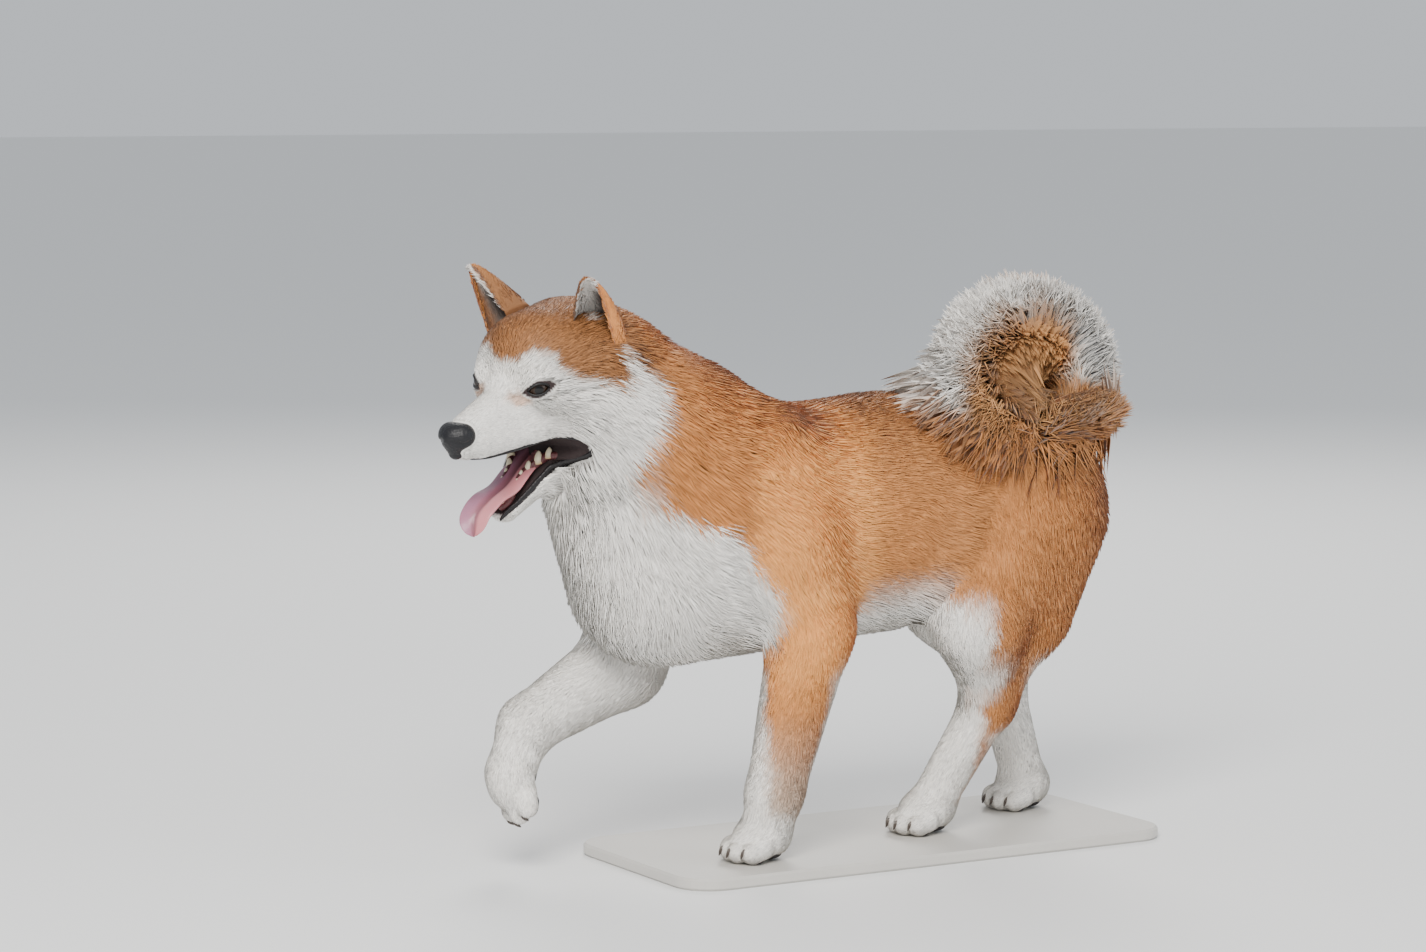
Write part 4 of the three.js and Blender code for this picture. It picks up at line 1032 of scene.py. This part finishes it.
eye_glass, eye_shader = streaked_material("eye_glass", 0.04, 900, 0.15)
eye_shader.inputs["Specular IOR Level"].default_value = 0.35
rim_skin = pebbled_material("lid_rim", (0.008, 0.007, 0.007, 1), 0.32, 900, 0.0002)
for side, name in ((-1, "left"), (1, "right")):
    centre, facing, aside = eye_frame(side)
    over = np.cross(facing, aside)
    polar = np.linspace(0, np.pi, EYE_RINGS)[:, None, None]
    turn_by = np.linspace(0, 2 * np.pi, EYE_SIDES, endpoint=False)[None, :, None]
    bulge = EYE_BALL + 0.7 * np.exp(-((polar / 0.55) ** 4))
    ball = centre + bulge * (
        facing * np.cos(polar) + (aside * np.cos(turn_by) + over * np.sin(turn_by)) * np.sin(polar)
    )
    eye = write_tubes(f"eye_ball_{name}", [ball], eye_glass)
    from_pole = np.repeat(polar.ravel(), EYE_SIDES)
    spokes = 1 + 0.25 * np.sin(np.tile(turn_by.ravel(), EYE_RINGS) * 23) * np.sin(from_pole * 9)
    iris = np.array([0.020, 0.009, 0.004])[None] * spokes[:, None]
    white = np.array([0.045, 0.032, 0.026])[None]
    shade = iris + (white - iris) * band(from_pole, IRIS - 0.05, IRIS + 0.08)[:, None]
    shade = shade * (0.15 + 0.85 * band(np.abs(from_pole - IRIS), 0.0, 0.07))[:, None]
    shade = np.where((from_pole < PUPIL)[:, None], 0.002, shade)
    paint(eye, shade)
    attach(eye, "root")
    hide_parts(f"eye_{name}")

    rims = []
    for arch, radius in zip(LID_ARCHES, LID_RIMS):
        u = np.linspace(-1.04, 1.04, LID_COUNT)[:, None]
        height = arch * (1 - np.minimum(np.abs(u), 1) ** 2) + LID_TILT * u
        way = unit(facing + EYE_SPAN * u * aside + height * np.array([0, 0, 1]))
        line = centre + way * (EYE_BALL + 0.95)
        size = radius * closed_ends(LID_COUNT, 0.4)
        rims.append(sweep(line, size, size * 1.25, facing))
    rim = write_tubes(f"lid_rims_{name}", rims, rim_skin)
    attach(rim, "root")


# Mouth: a black lip runs along each side from the chin, round the corner of the mouth and forwards under the
# nose. Inside it stand dark gums with the lower teeth, and the tongue hangs out over the front of the jaw.
LIP_LINE = [
    # x, z, half height, half thickness, and how far above it the skin is felt for
    (-34, -103, 1.6, 1.2, -2), (-26, -98.5, 2.6, 1.7, -2), (-14, -93, 3.4, 2.0, -2),
    (4, -82.5, 3.9, 2.2, -2), (20, -71.0, 3.9, 2.4, -2), (29.5, -61.0, 3.6, 2.5, -1),
    (30.5, -52.5, 3.2, 2.4, 1), (22, -45.0, 2.4, 2.0, 3), (8, -41.5, 1.7, 1.5, 3),
    (-8, -43.6, 1.3, 1.2, 3), (-26, -44.8, 1.1, 1.1, 2.5), (-50, -44.2, 1.0, 1.0, 2.5),
    (-68, -42, 0.8, 0.8, 2.5),
]
GUM_INSET, GUM_RADIUS = 3.6, 3.3
TEETH = [
    # x, height of the root, height of the crown, half length and half thickness, from the cheek to the front
    (20, -63.0, 7.5, 4.8, 3.4), (12.5, -66.5, 9.5, 5.0, 3.6), (4.5, -71.5, 8.0, 4.4, 3.3),
    (-3.0, -76.0, 6.5, 3.4, 2.7), (-9.0, -80.5, 6.0, 3.0, 2.5), (-14.5, -84.5, 5.5, 2.7, 2.2),
    (-20, -90.5, 12.0, 2.9, 2.5), (-25.5, -94.0, 6.0, 2.0, 1.8),
]


def skin_side(x, z, side):
    """How far to one side the skin lies at places (x, z) of the head's side view: the outermost step where
    a walk inwards from the side enters the flesh."""
    steps = np.linspace(60, 2, 117)
    xs, ys = np.meshgrid(x, steps * side, indexing="ij")
    zs = np.broadcast_to(np.asarray(z, dtype=np.float64)[:, None], xs.shape)
    places = from_head(np.stack([xs, ys, zs], axis=-1).reshape(-1, 3))
    inside = skin_distance(places).reshape(xs.shape) < 0
    first = np.where(inside.any(axis=1), inside.argmax(axis=1), len(steps) - 12)
    return steps[first]


def smoothed(values, half):
    """Running mean of the values over half steps to each side."""
    window = 2 * half + 1
    return np.convolve(np.pad(values, half, mode="edge"), np.ones(window) / window, mode="valid")


lip_rows = np.array(LIP_LINE, dtype=np.float64)
tooth_rows = np.array(TEETH, dtype=np.float64)
lip_count, gum_count, tooth_count = 110, 40, 14
lip_path = smooth_line(np.insert(lip_rows[:, :2], 1, 0, axis=1), lip_count)
row_run = np.array([np.linalg.norm(lip_path - (x, 0, z), axis=1).argmin() for x, z in lip_rows[:, :2]])
lip_half, lip_thick, lip_feel = (
    np.interp(np.arange(lip_count), row_run, lip_rows[:, m]) for m in (2, 3, 4)
)
lip_tubes, gum_tubes, tooth_tubes = [], [], []
for side in (-1, 1):
    y = skin_side(lip_path[:, 0], lip_path[:, 2] + lip_feel, side)
    y = smoothed(y, 4)
    line = lip_path.copy()
    line[:, 1] = side * (y - 0.2)
    close = closed_ends(lip_count, 0.25)
    lip_tubes.append(sweep(line, lip_half * close, lip_thick * close, np.array([0, side, 0.01])))

    gum_x = np.linspace(28, -30, gum_count)
    gum_z = np.interp(gum_x, tooth_rows[::-1, 0], tooth_rows[::-1, 1]) + 0.5
    gum_y = skin_side(gum_x, gum_z - 7, side) - GUM_INSET
    gum_y = smoothed(gum_y, 3)
    gum_line = np.column_stack([gum_x, side * np.maximum(gum_y, 2.5), gum_z])
    size = GUM_RADIUS * closed_ends(gum_count, 0.4)
    gum_tubes.append(sweep(gum_line, size, size * 1.2, np.array([0, 0, 1.0])))

    for x, root_z, height, half_long, half_thick in TEETH:
        root_y = side * np.interp(-x, -gum_x, np.abs(gum_line[:, 1]))
        t = np.linspace(0, 1, tooth_count)
        fang = height > 11
        hook = 0.16 if fang else 0.05
        tooth_line = np.column_stack([
            x + 2.2 * hook * height * t**2,
            root_y + side * (0.8 * t - 1.6 * fang * t**2),
            root_z - 1.5 + (height + 1.5) * t,
        ])
        taper = np.sqrt(np.maximum(1 - t**2.2, 0)) * (1 - 0.30 * t)
        taper[0] = 0
        tooth_tubes.append(sweep(tooth_line, half_thick * taper, half_long * taper, np.array([1.0, 0, 0])))

lip_skin = pebbled_material("lip_skin", (0.010, 0.008, 0.009, 1), 0.30, 520, 0.0005)
lips = write_tubes("lips", lip_tubes, lip_skin)
gum_skin = pebbled_material("gum_skin", (0.10, 0.028, 0.030, 1), 0.25, 420, 0.0004)
gums = write_tubes("gums", gum_tubes, gum_skin)
enamel, _ = streaked_material("enamel", 0.22, 260, 0.08)
teeth = write_tubes("teeth", tooth_tubes, enamel)
root_to_tip = np.tile(np.repeat(np.linspace(0, 1, tooth_count), TUBE_SIDES), len(tooth_tubes))
IVORY = np.array([0.80, 0.70, 0.50])
TARTAR = np.array([0.48, 0.34, 0.17])
paint(teeth, TARTAR + (IVORY - TARTAR) * band(root_to_tip, 0.05, 0.5)[:, None])
for piece in (lips, gums, teeth):
    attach(piece, "root")

TONGUE_LINE = [(34, 0, -58), (8, 0, -68), (-14, 0, -80), (-37, 0, -86), (-54, 0, -94), (-62, -2, -108)]
TONGUE_HALF, TONGUE_THICK, TONGUE_GROOVE = 15.8, 3.6, 3.2
TONGUE_PINK = np.array([0.62, 0.235, 0.255])
# Painted shade: the tongue's colour on its shaded side, a dark mauve.
TONGUE_PAINTED_SHADE = np.array([0.36, 0.16, 0.25])
tongue_count, tongue_sides = 90, 64
tongue_path = smooth_line(TONGUE_LINE, tongue_count)
tongue_along = unit(np.gradient(tongue_path, axis=0))
tongue_across = unit(np.cross(tongue_along, np.array([0, 0, 1.0])))
tongue_over = np.cross(tongue_across, tongue_along)
t = np.linspace(0, 1, tongue_count)
rounding = np.sqrt(np.maximum(1 - (np.maximum(t - 0.72, 0) / 0.281) ** 2, 0))
rounding[0] = 0
half = TONGUE_HALF * (0.85 + 0.2 * np.minimum(t, 0.75)) * rounding
angle = np.linspace(0, 2 * np.pi, tongue_sides, endpoint=False)
upper = np.maximum(np.sin(angle), 0)
groove = TONGUE_GROOVE * np.exp(-((np.cos(angle) / 0.16) ** 2)) * (upper > 0) * (1 - 0.5 * t[:, None])
curl = 3.2 * np.cos(angle) ** 2 * band(t, 0.25, 0.8)[:, None]
wave = 0.5 * np.sin(t * 21)[:, None] * np.cos(angle) ** 2
tongue_height = (TONGUE_THICK * np.sin(angle) * rounding[:, None]) - groove + curl - 1.2 + wave
tongue_points = (
    tongue_path[:, None]
    + tongue_across[:, None] * (half[:, None] * np.cos(angle))[..., None]
    + tongue_over[:, None] * tongue_height[..., None]
)
tongue_wet, tongue_shader = streaked_material("tongue_wet", 0.24, 1500, 0.10, 0.55, 0.0004)
tongue_shader.inputs["Subsurface Weight"].default_value = 0.25
tongue_shader.inputs["Subsurface Radius"].default_value = (0.004, 0.0015, 0.001)
tongue = write_tubes("tongue_flesh", [tongue_points], tongue_wet)
# Painted shade: one side of the tongue is painted mauve as shaded, its middle line darker over the groove,
# and the whole darker back into the mouth.
shaded_side = band(np.cos(angle), -0.4, 0.5)[None, :, None]
groove_shade = 1 - 0.5 * np.exp(-((np.cos(angle) / 0.2) ** 2))[None, :, None]
tongue_color = (TONGUE_PINK + (TONGUE_PAINTED_SHADE - TONGUE_PINK) * 0.85 * shaded_side) * groove_shade
tongue_color = tongue_color * (0.45 + 0.55 * band(t, 0.05, 0.4))[:, None, None]
paint(tongue, tongue_color.reshape(-1, 3))
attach(tongue, "root")
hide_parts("tongue")


# Claws and pads: a dark horn claw curves out of each toe, and black pebbled pads lie under the toes and the
# palm. The standing paws press their pads flat on the base.
CLAW_LENGTH, CLAW_RADIUS, CLAW_RINGS = 9, 2.5, 16
PAD_CLEAR = 0.4
claw_tubes, pad_tubes = [], []
for leg in LEGS.values():
    sole = unit(leg["sole"])
    heading = unit(leg["heading"])
    sideways = np.cross(sole, heading)
    for across, reach in zip(TOE_ACROSS, TOE_REACH):
        tip = reach + TOE_RADIUS
        path = [
            paw_point(leg, tip - 7, across, -10.5),
            paw_point(leg, tip - 1, across, -10.8),
            paw_point(leg, tip - 7 + CLAW_LENGTH, across, -16.5),
        ]
        line = smooth_line(np.array(path), CLAW_RINGS)
        s = np.linspace(0, 1, CLAW_RINGS)
        size = CLAW_RADIUS * (1 - 0.86 * s**1.5) * np.sqrt(np.minimum(s * 8, 1)) * (s < 1)
        claw_tubes.append(sweep(line, size * 0.8, size * 1.15, -sole))
        pads = [(reach - 3, across, -17.6, 7.5, 5.6, 4.2)]
        if across == TOE_ACROSS[1]:
            pads.append((-2, 0, -16.5, 11, 13.5, 5.2))
        for ahead, aside, above, half_ahead, half_aside, half_deep in pads:
            polar = np.linspace(0, np.pi, 18)[:, None, None]
            around = np.linspace(0, 2 * np.pi, 24, endpoint=False)[None, :, None]
            belt = sideways * half_aside * np.cos(around) - sole * half_deep * np.sin(around)
            lump = paw_point(leg, ahead, aside, above) + (
                heading * half_ahead * np.cos(polar) + belt * np.sin(polar)
            )
            lump[..., 2] = np.maximum(lump[..., 2], PAD_CLEAR)
            pad_tubes.append(lump)
claw_horn, _ = streaked_material("claw_horn", 0.35, 700, 0.25, 0.2, 0.0002, (1, 1, 5))
claws = write_tubes("claws", claw_tubes, claw_horn, lambda points: points)
claw_run = np.tile(np.repeat(np.linspace(0, 1, CLAW_RINGS), TUBE_SIDES), len(claw_tubes))
paint(claws, np.array([0.10, 0.075, 0.06]) * (1 - 0.55 * claw_run[:, None]))
pad_skin = pebbled_material("pad_skin", (0.030, 0.026, 0.026, 1), 0.6, 560, 0.0006)
paw_pads = write_tubes("paw_pads", pad_tubes, pad_skin, lambda points: points)
for piece in (claws, paw_pads):
    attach(piece, "root")


# Coat: guard hair over wool, in tufts of solid mesh. Each tuft is a slim closed blade that starts in the
# skin, rises to the coat's depth and lies along the body. Tufts are short on face and feet, long on neck,
# breech and tail, and their tips end where the solids do.
TUFT_COUNT = 352000
TUFTS_A_PIECE = 49000
TUFT_FACES = np.array([[0, 2, 1], [2, 3, 1], [0, 1, 3], [0, 3, 2]])
# Painted shade and light along each tuft: darker at the root, as the shade deep in the coat, and lighter at
# the tip.
TUFT_PAINTED_SHADE_AND_LIGHT = np.array([0.80, 0.95, 0.95, 1.06])
TUFT_PATCH = 0.003
ROUNDNESS = 0.5
CREASE_FULL = 0.3
PATCH_CORNERS = TUFT_PATCH * np.array([(0, -0.5), (-0.4, 0), (0.4, 0), (0, 0.5)])
random = np.random.default_rng(11)


def scatter(weights, count):
    """count picks in step with the weights: even steps along their running sum, each moved a little."""
    run = np.cumsum(weights)
    steps = (np.arange(count) + random.uniform(0, 1, count)) / count * run[-1]
    return np.searchsorted(run, steps).clip(0, len(weights) - 1)


def blades(roots, normals, lies, length, width, rise, stand, fan, limit, reach):
    """Tufts: root, two corners at two fifths of the length, and tip. A tuft's way is the lie, turned about
    the normal by a random angle of about fan, and raised from the skin by the slope stand. limit gives how
    far a tip is outside the coat, and a tip is moved along the normal until that is about reach, and then
    drawn back to the root where it is still out. Also gives each corner's shading normal on the upper side,
    which is nearly the skin's and turns a little across the blade, and that of its under side."""
    along = unit(lies - (lies * normals).sum(axis=1)[:, None] * normals)
    swirl = 0.22 * ripple(roots, 60, 5) + 0.20 * ripple(roots, 19, 6)
    angle = random.normal(0, 1, len(roots)) * fan + swirl
    aside = np.cross(normals, along)
    way = along * np.cos(angle)[:, None] + aside * np.sin(angle)[:, None]
    aside = np.cross(normals, way)
    rise = rise[:, None]
    way = unit(way + normals * stand[:, None])
    lying = np.maximum(1 - stand, 0)
    tips = roots + way * length[:, None] + normals * rise * 0.8
    for _ in range(2):
        move = np.clip(limit(tips) - reach, -0.5 * length, 0.5 * length) * lying
        tips = tips - normals * move[:, None]
    for _ in range(3):
        still_out = np.maximum(limit(tips) - reach - 0.4, 0)
        shrink = np.clip(1 - 1.05 * still_out / length, 0.15, 1)
        tips = roots + (tips - roots) * shrink[:, None]
    up = unit(np.cross(tips - roots, aside))
    half = aside * (width / 2)[:, None]
    middle = roots + 0.42 * (tips - roots) + up * np.maximum(0.3 * rise, 0.25)
    corners = np.stack([roots - normals * 1.0, middle + half, middle - half, tips], axis=1)
    level = np.maximum((up * normals).sum(axis=1), 0)[:, None]
    soft = unit(normals * (0.8 + 0.2 * level) + up * (1.2 - level))
    under = unit(normals * 0.8 * (1 - level) - up)
    round_by = ROUNDNESS * aside
    shading = unit(np.stack([soft, soft + round_by, soft - round_by, soft + 0.2 * way], axis=1))
    return corners, shading, under


def write_coat(name, blade_corners, colors, places, material):
    """Coat pieces of one surface, with each tuft's patch on the unwrap at its root's place."""
    points, shading, shading_under = blade_corners
    for number, start in enumerate(range(0, len(points), TUFTS_A_PIECE)):
        part = slice(start, start + TUFTS_A_PIECE)
        count = len(points[part])
        faces = (TUFT_FACES[None] + 4 * np.arange(count)[:, None, None]).reshape(-1, 3)
        piece = write_mesh(f"{name}_{number}", points[part].reshape(-1, 3) * MM + ORIGIN, faces, material)
        upper = shading[part][:, TUFT_FACES[:2]]
        under = np.broadcast_to(shading_under[part, None, None], upper.shape)
        piece.data.normals_split_custom_set(np.concatenate([upper, under], axis=1).reshape(-1, 3))
        # Each tuft's colour is painted darker at its root as shade and lighter at its tip as light.
        paint(piece, (colors[part, None] * TUFT_PAINTED_SHADE_AND_LIGHT[None, :, None]).reshape(-1, 3))
        write_unwrap(piece, (places[part, None] + PATCH_CORNERS[None]).reshape(-1, 2)[faces.ravel()])
        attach(piece, "root")


hair_there = skin_hair[skin_faces].mean(axis=1)
bare_face = (skin_bare[skin_faces] > 0.6).any(axis=1)
face_area = np.linalg.norm(face_crosses, axis=1) / 2
density = face_area * ~bare_face / (hair_there[:, 1] * hair_there[:, 2]) ** 0.92
of_tail = np.char.startswith(np.array(REGION_NAMES), "tail")
density *= np.where(of_tail[skin_region[skin_faces[:, 0]]], 2.6, 1)
picked = scatter(density, TUFT_COUNT)
u, v = random.uniform(0, 1, (2, TUFT_COUNT, 1))


def within_face(values):
    """Values of the skin's points, spread over the picked faces by two parameters."""
    a, b, c, d = (values[skin_faces[picked, m]] for m in range(4))
    return (a * (1 - u) + b * u) * (1 - v) + (d * (1 - u) + c * u) * v


roots = within_face(skin_points)
root_normals = unit(within_face(skin_normals))
root_lie = within_face(skin_lie)
root_hair = within_face(skin_hair)
root_region = skin_region[skin_faces[picked, 0]]
on_tail = of_tail[root_region]
from_curl = roots - TAIL_CURL
from_curl[:, 1] *= 0.3
from_curl = unit(from_curl)
faces_out = (from_curl * root_normals).sum(axis=1)
outer = on_tail * band(faces_out, -0.1, 0.7)
inner = on_tail * band(-faces_out, 0.1, 0.7)
tail_end = root_region == REGION_NAMES.index("tail_4")
curled = on_tail & ~tail_end
stand = np.where(curled, 0.22 + 2.2 * outer**2 + 1.3 * inner, 0.1 * on_tail)
root_lie = unit(root_lie) * np.where(curled, 0.35 + 0.6 * inner, 1)[:, None]
root_lie += from_curl * (1.5 * curled * (1 - inner))[:, None]
tuft_length = root_hair[:, 1] * random.uniform(0.75, 1.3, TUFT_COUNT)
tuft_width = root_hair[:, 2] * random.uniform(0.6, 1.05, TUFT_COUNT)
in_head = to_head(roots)
for side in (-1, 1):
    from_eye = np.linalg.norm(in_head - eye_frame(side)[0], axis=1)
    near_eye = 1 - band(from_eye, 14, 30)
    tuft_length *= 1 - 0.45 * near_eye
    tuft_width *= 1 - 0.2 * near_eye
near_mouth = 1 - band(distance_to_mouth(in_head[:, 0], in_head[:, 2]), 2, 16)
near_mouth *= np.abs(in_head[:, 1]) < 50
near_mouth *= np.linalg.norm(in_head, axis=1) < HEAD_SPAN
tuft_length *= 1 - 0.45 * near_mouth
in_crease = crease_depth_and_shade(roots) / CREASE_FULL * ~on_tail
tuft_rise = np.clip(-tip_distance(roots), 0.5, root_hair[:, 0] * 1.2) * (1 - 0.6 * in_crease)
fluff = band(root_hair[:, 0], 9, 15) * ~on_tail
reach = -0.30 * tuft_rise * random.uniform(0, 1, TUFT_COUNT)
reach += 0.8 * fluff * random.uniform(-0.5, 1, TUFT_COUNT)
ragged = random.uniform(-0.42, 0.16, TUFT_COUNT)
reach = np.where(on_tail, ragged * tuft_rise + 9 * outer + 6 * inner, reach)
reach = reach - 3 * in_crease
fan = 0.16 + 0.9 * outer
tufts = blades(
    roots, root_normals, root_lie, tuft_length, tuft_width, tuft_rise, stand, fan, tip_distance, reach
)
tuft_tips = tufts[0][:, 3]
seen_at = np.where(on_tail[:, None], (roots + tuft_tips) / 2, roots - unit(root_lie) * 4)
tuft_color, tuft_pale = coat_color(seen_at, root_normals)
short = 1 - band(root_hair[:, 1], 8, 15)
tone = 0.06 + 0.17 * short
tone = 1 + (tone * random.normal(0, 1, TUFT_COUNT) + 0.05 * ripple(roots, 9, 8)) * (1 - 0.35 * tuft_pale)
tuft_color = tuft_color * np.clip(tone, 0.55, 1.4)[:, None]
tip_head = to_head(tuft_tips)
nose_clear = (distance_to_nose(*tip_head.T) > 0.3) & (distance_to_nose(*in_head.T) > 0.5)
kept = nose_clear & (bare_skin(tuft_tips) < 0.4)
tuft_places = unwrap(roots, face_charts[picked])
hair_material, hair_shader = streaked_material("guard_hair", 0.58, 900, 0.15)
hair_shader.inputs["Specular IOR Level"].default_value = 0.3
hair_shader.inputs["Sheen Weight"].default_value = 0.15
write_coat("coat", [part[kept] for part in tufts], tuft_color[kept], tuft_places[kept], hair_material)


# Ears: small thick cups, rounded at the tip and open to the front and the side. Short red hair covers the
# outside, longer cream hair grows from the front edge over the opening, and the hollow is painted nearly
# black as shade.
EAR_INNER, EAR_OUTER, EAR_TIP = (45, 34, 43), (74, 66, 9), (42, 60, 80)
EAR_FACING = (-0.856, 0.384, -0.346)
EAR_DEPTH, EAR_RIM, EAR_WALL = 27.0, 2.0, 3.6
EAR_ROOT = -0.22
EAR_WRAP, EAR_CURL = 1.28, 0.42
EAR_TUFTS = 8000
EAR_STEPS, EAR_SIDES = 56, 96
# Painted shade: the colour of the ear's hollow, as if in shadow.
HOLLOW_PAINTED_SHADE = np.array([0.035, 0.02, 0.016])


def across_ear(turn_round):
    """0 at the ear's inner edge and 1 at the outer one, on either side of its wall."""
    return (1 - np.cos(2 * np.pi * turn_round)) / 2


def in_cup(turn_round, low, high):
    """1 on the inner side of the ear's wall and 0 on its back."""
    return band(-np.sin(2 * np.pi * turn_round), low, high)


def ear_color(turn_round, t):
    """Red behind and on the curled edge, pale grey inside, and painted shade, nearly black, down in the cup.
    """
    s = across_ear(turn_round)
    red = DARK_RED + (RED - DARK_RED) * band(s + 0.5 * t, 0.2, 0.8)[:, None]
    hollow = band(s, 0.24, 0.40) * (1 - band(s, 0.60, 0.76)) * (1 - band(t, 0.54, 0.76))
    lining = CREAM * 0.66 + (RED - CREAM * 0.66) * (0.8 * band(s, 0.62, 0.80))[:, None]
    lining = lining + (HOLLOW_PAINTED_SHADE - lining) * hollow[:, None]
    return red + (lining - red) * in_cup(turn_round, 0.05, 0.35)[:, None]


def ear_unwrap(turn_round, t):
    """Places on the unwrap of an ear: round its wall, and from root to tip."""
    return np.stack([turn_round, (t - EAR_ROOT) / (1 - EAR_ROOT)], axis=-1) * 0.9 + 0.03


def ear_places(turn_round, t, side):
    """Places on an ear: turn_round runs round its wall, 0 at the inner edge, a quarter in the middle of the
    back, a half at the outer edge and three quarters in the middle of the cup; t runs from root to tip. In
    section the wall is an arc of an ellipse, which goes on past its widest place, so that the outer edge
    curls forwards; the wall's edges are round."""
    mirror = np.array([1, side, 1])
    marks = np.array([EAR_INNER, EAR_OUTER, EAR_TIP], dtype=np.float64)
    inner, outer_edge, tip = marks * mirror
    facing = unit(np.array(EAR_FACING) * mirror)
    s = across_ear(turn_round)
    bend = np.pi * (1 + EAR_WRAP * s)
    backwards = -np.sin(bend)
    backwards = np.where(backwards < 0, EAR_CURL * backwards, backwards)
    taper = (1 - 0.56 * t) * np.sqrt(np.maximum(1.02 - np.maximum(t, 0) ** 7, 0))
    taper *= np.where(t < 0, 1 + t * 1.2, 1)
    wide = np.linalg.norm(outer_edge - inner) / 2 * taper
    deep = EAR_DEPTH * np.maximum(1 - t, 0) ** 0.8 * np.where(t < 0, 1 + t * 2.2, 1)
    across = unit(outer_edge - inner)
    outwards = unit(across * (np.cos(bend) * (deep + 1))[:, None] + facing * (np.sin(bend) * wide)[:, None])
    thick = (EAR_RIM + (EAR_WALL - EAR_RIM) * np.sin(np.pi * s)) * (1 - 0.35 * t)
    offset = np.sign(np.sin(2 * np.pi * turn_round)) * np.sqrt(np.abs(np.sin(2 * np.pi * turn_round)))
    middle = (inner + outer_edge) / 2
    centre = middle + (tip - middle) * t[:, None]
    return (
        centre
        + across * (wide * np.cos(bend))[:, None]
        + facing * (2.5 * t * t - deep * backwards)[:, None]
        + outwards * (offset * thick / 2)[:, None]
    )


ear_run, ear_round = np.meshgrid(
    np.linspace(EAR_ROOT, 1, EAR_STEPS), np.arange(EAR_SIDES) / EAR_SIDES, indexing="ij"
)
ear_skin, _ = streaked_material("ear_skin", 0.75, 700, 0.12, 0.35)
for side, name in ((-1, "left"), (1, "right")):
    shape = ear_places(ear_round.ravel(), ear_run.ravel(), side).reshape(EAR_STEPS, EAR_SIDES, 3)
    shape[-1] = shape[-1].mean(axis=0)
    around_places = ear_round
    if side < 0:
        shape = shape[:, ::-1]
        around_places = (1 - (ear_round + 1 / EAR_SIDES)) % 1
    colors = ear_color(around_places.ravel(), ear_run.ravel())
    ear = write_tubes(f"ear_wall_{name}", [shape], ear_skin)
    paint(ear, colors * 0.9)
    flat = ear_unwrap(around_places, ear_run).reshape(-1, 2)
    write_unwrap(ear, flat[tube_faces(EAR_STEPS, EAR_SIDES).ravel()])
    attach(ear, "root")
    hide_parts(f"ear_{name}")

    turn_round = random.uniform(0, 1, EAR_TUFTS)
    t = 1.0 - np.abs(random.triangular(-1.0, 0, 1.0, EAR_TUFTS)) * 0.999
    s = across_ear(turn_round)
    hollow = in_cup(turn_round, 0.1, 0.4) * band(s, 0.26, 0.40) * (1 - band(s, 0.6, 0.76))
    keep = random.uniform(0, 1, EAR_TUFTS) > hollow * (1 - band(t, 0.5, 0.72))
    turn_round, t, s = turn_round[keep], t[keep], s[keep]
    here = ear_places(turn_round, t, side)
    upwards = ear_places(turn_round, np.minimum(t + 0.02, 1.0), side) - here
    upwards = np.where((t > 0.97)[:, None], here - ear_places(turn_round, t - 0.02, side), upwards)
    sidewards = ear_places(turn_round + 0.004, t, side) - here
    normals = unit(np.cross(sidewards, upwards) * side)
    fringe = in_cup(turn_round, 0.05, 0.3) * (1 - band(s, 0.06, 0.26))
    inwards = unit(np.array(EAR_OUTER) - np.array(EAR_INNER))
    over_cup = (0.8 * inwards + 0.3 * np.array(EAR_FACING)) * np.array([1, side, 1])
    lie = unit(upwards) + fringe[:, None] * over_cup
    length = (6.0 + 4 * fringe) * random.uniform(0.7, 1.25, len(t)) * (1 - 0.35 * band(t, 0.7, 1.0))
    rise = 1.0 + 1.2 * fringe
    world = from_head(here)
    strands = blades(
        world, normals @ HEAD_TURN.T, lie @ HEAD_TURN.T, length, 0.85 - 0.15 * fringe,
        rise, np.zeros(len(t)), 0.2, lambda points: np.zeros(len(points)), np.zeros(len(t)),
    )
    shade = ear_color(turn_round, t) * (1 + 0.09 * random.normal(0, 1, (len(t), 1)))
    shade = shade + (CREAM * 0.9 - shade) * (0.75 * fringe)[:, None]
    write_coat(f"coat_ear_{name}", strands, shade, ear_unwrap(turn_round, t), hair_material)


# Base: a flat board with rounded corners, painted a warm satin grey with a roller, which leaves a fine
# stipple. The board is the solids' own.
base_paint, base_shader = plain_material("stand_paint", (0.5, 0.48, 0.45, 1), 0.42)
base_nodes = base_paint.node_tree.nodes
base_coordinates = base_nodes.new("ShaderNodeTexCoord")
stipple = base_nodes.new("ShaderNodeTexNoise")
stipple.inputs["Scale"].default_value = 900
stipple.inputs["Detail"].default_value = 4
shader_link(base_paint, base_coordinates, "Object", stipple, "Vector")
clouds = base_nodes.new("ShaderNodeTexNoise")
clouds.inputs["Scale"].default_value = 9
shader_link(base_paint, base_coordinates, "Object", clouds, "Vector")
tint = base_nodes.new("ShaderNodeMix")
tint.data_type = "RGBA"
tint.inputs["A"].default_value = (0.52, 0.50, 0.465, 1)
tint.inputs["B"].default_value = (0.60, 0.58, 0.54, 1)
shader_link(base_paint, clouds, "Fac", tint, "Factor")
base_paint.node_tree.links.new(tint.outputs["Result"], base_shader.inputs["Base Color"])
grain = base_nodes.new("ShaderNodeBump")
grain.inputs["Strength"].default_value = 0.25
grain.inputs["Distance"].default_value = 0.0003
shader_link(base_paint, stipple, "Fac", grain, "Height")
shader_link(base_paint, grain, "Normal", base_shader, "Normal")
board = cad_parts["stand_base"]
for place in board.material_slots:
    place.material = base_paint
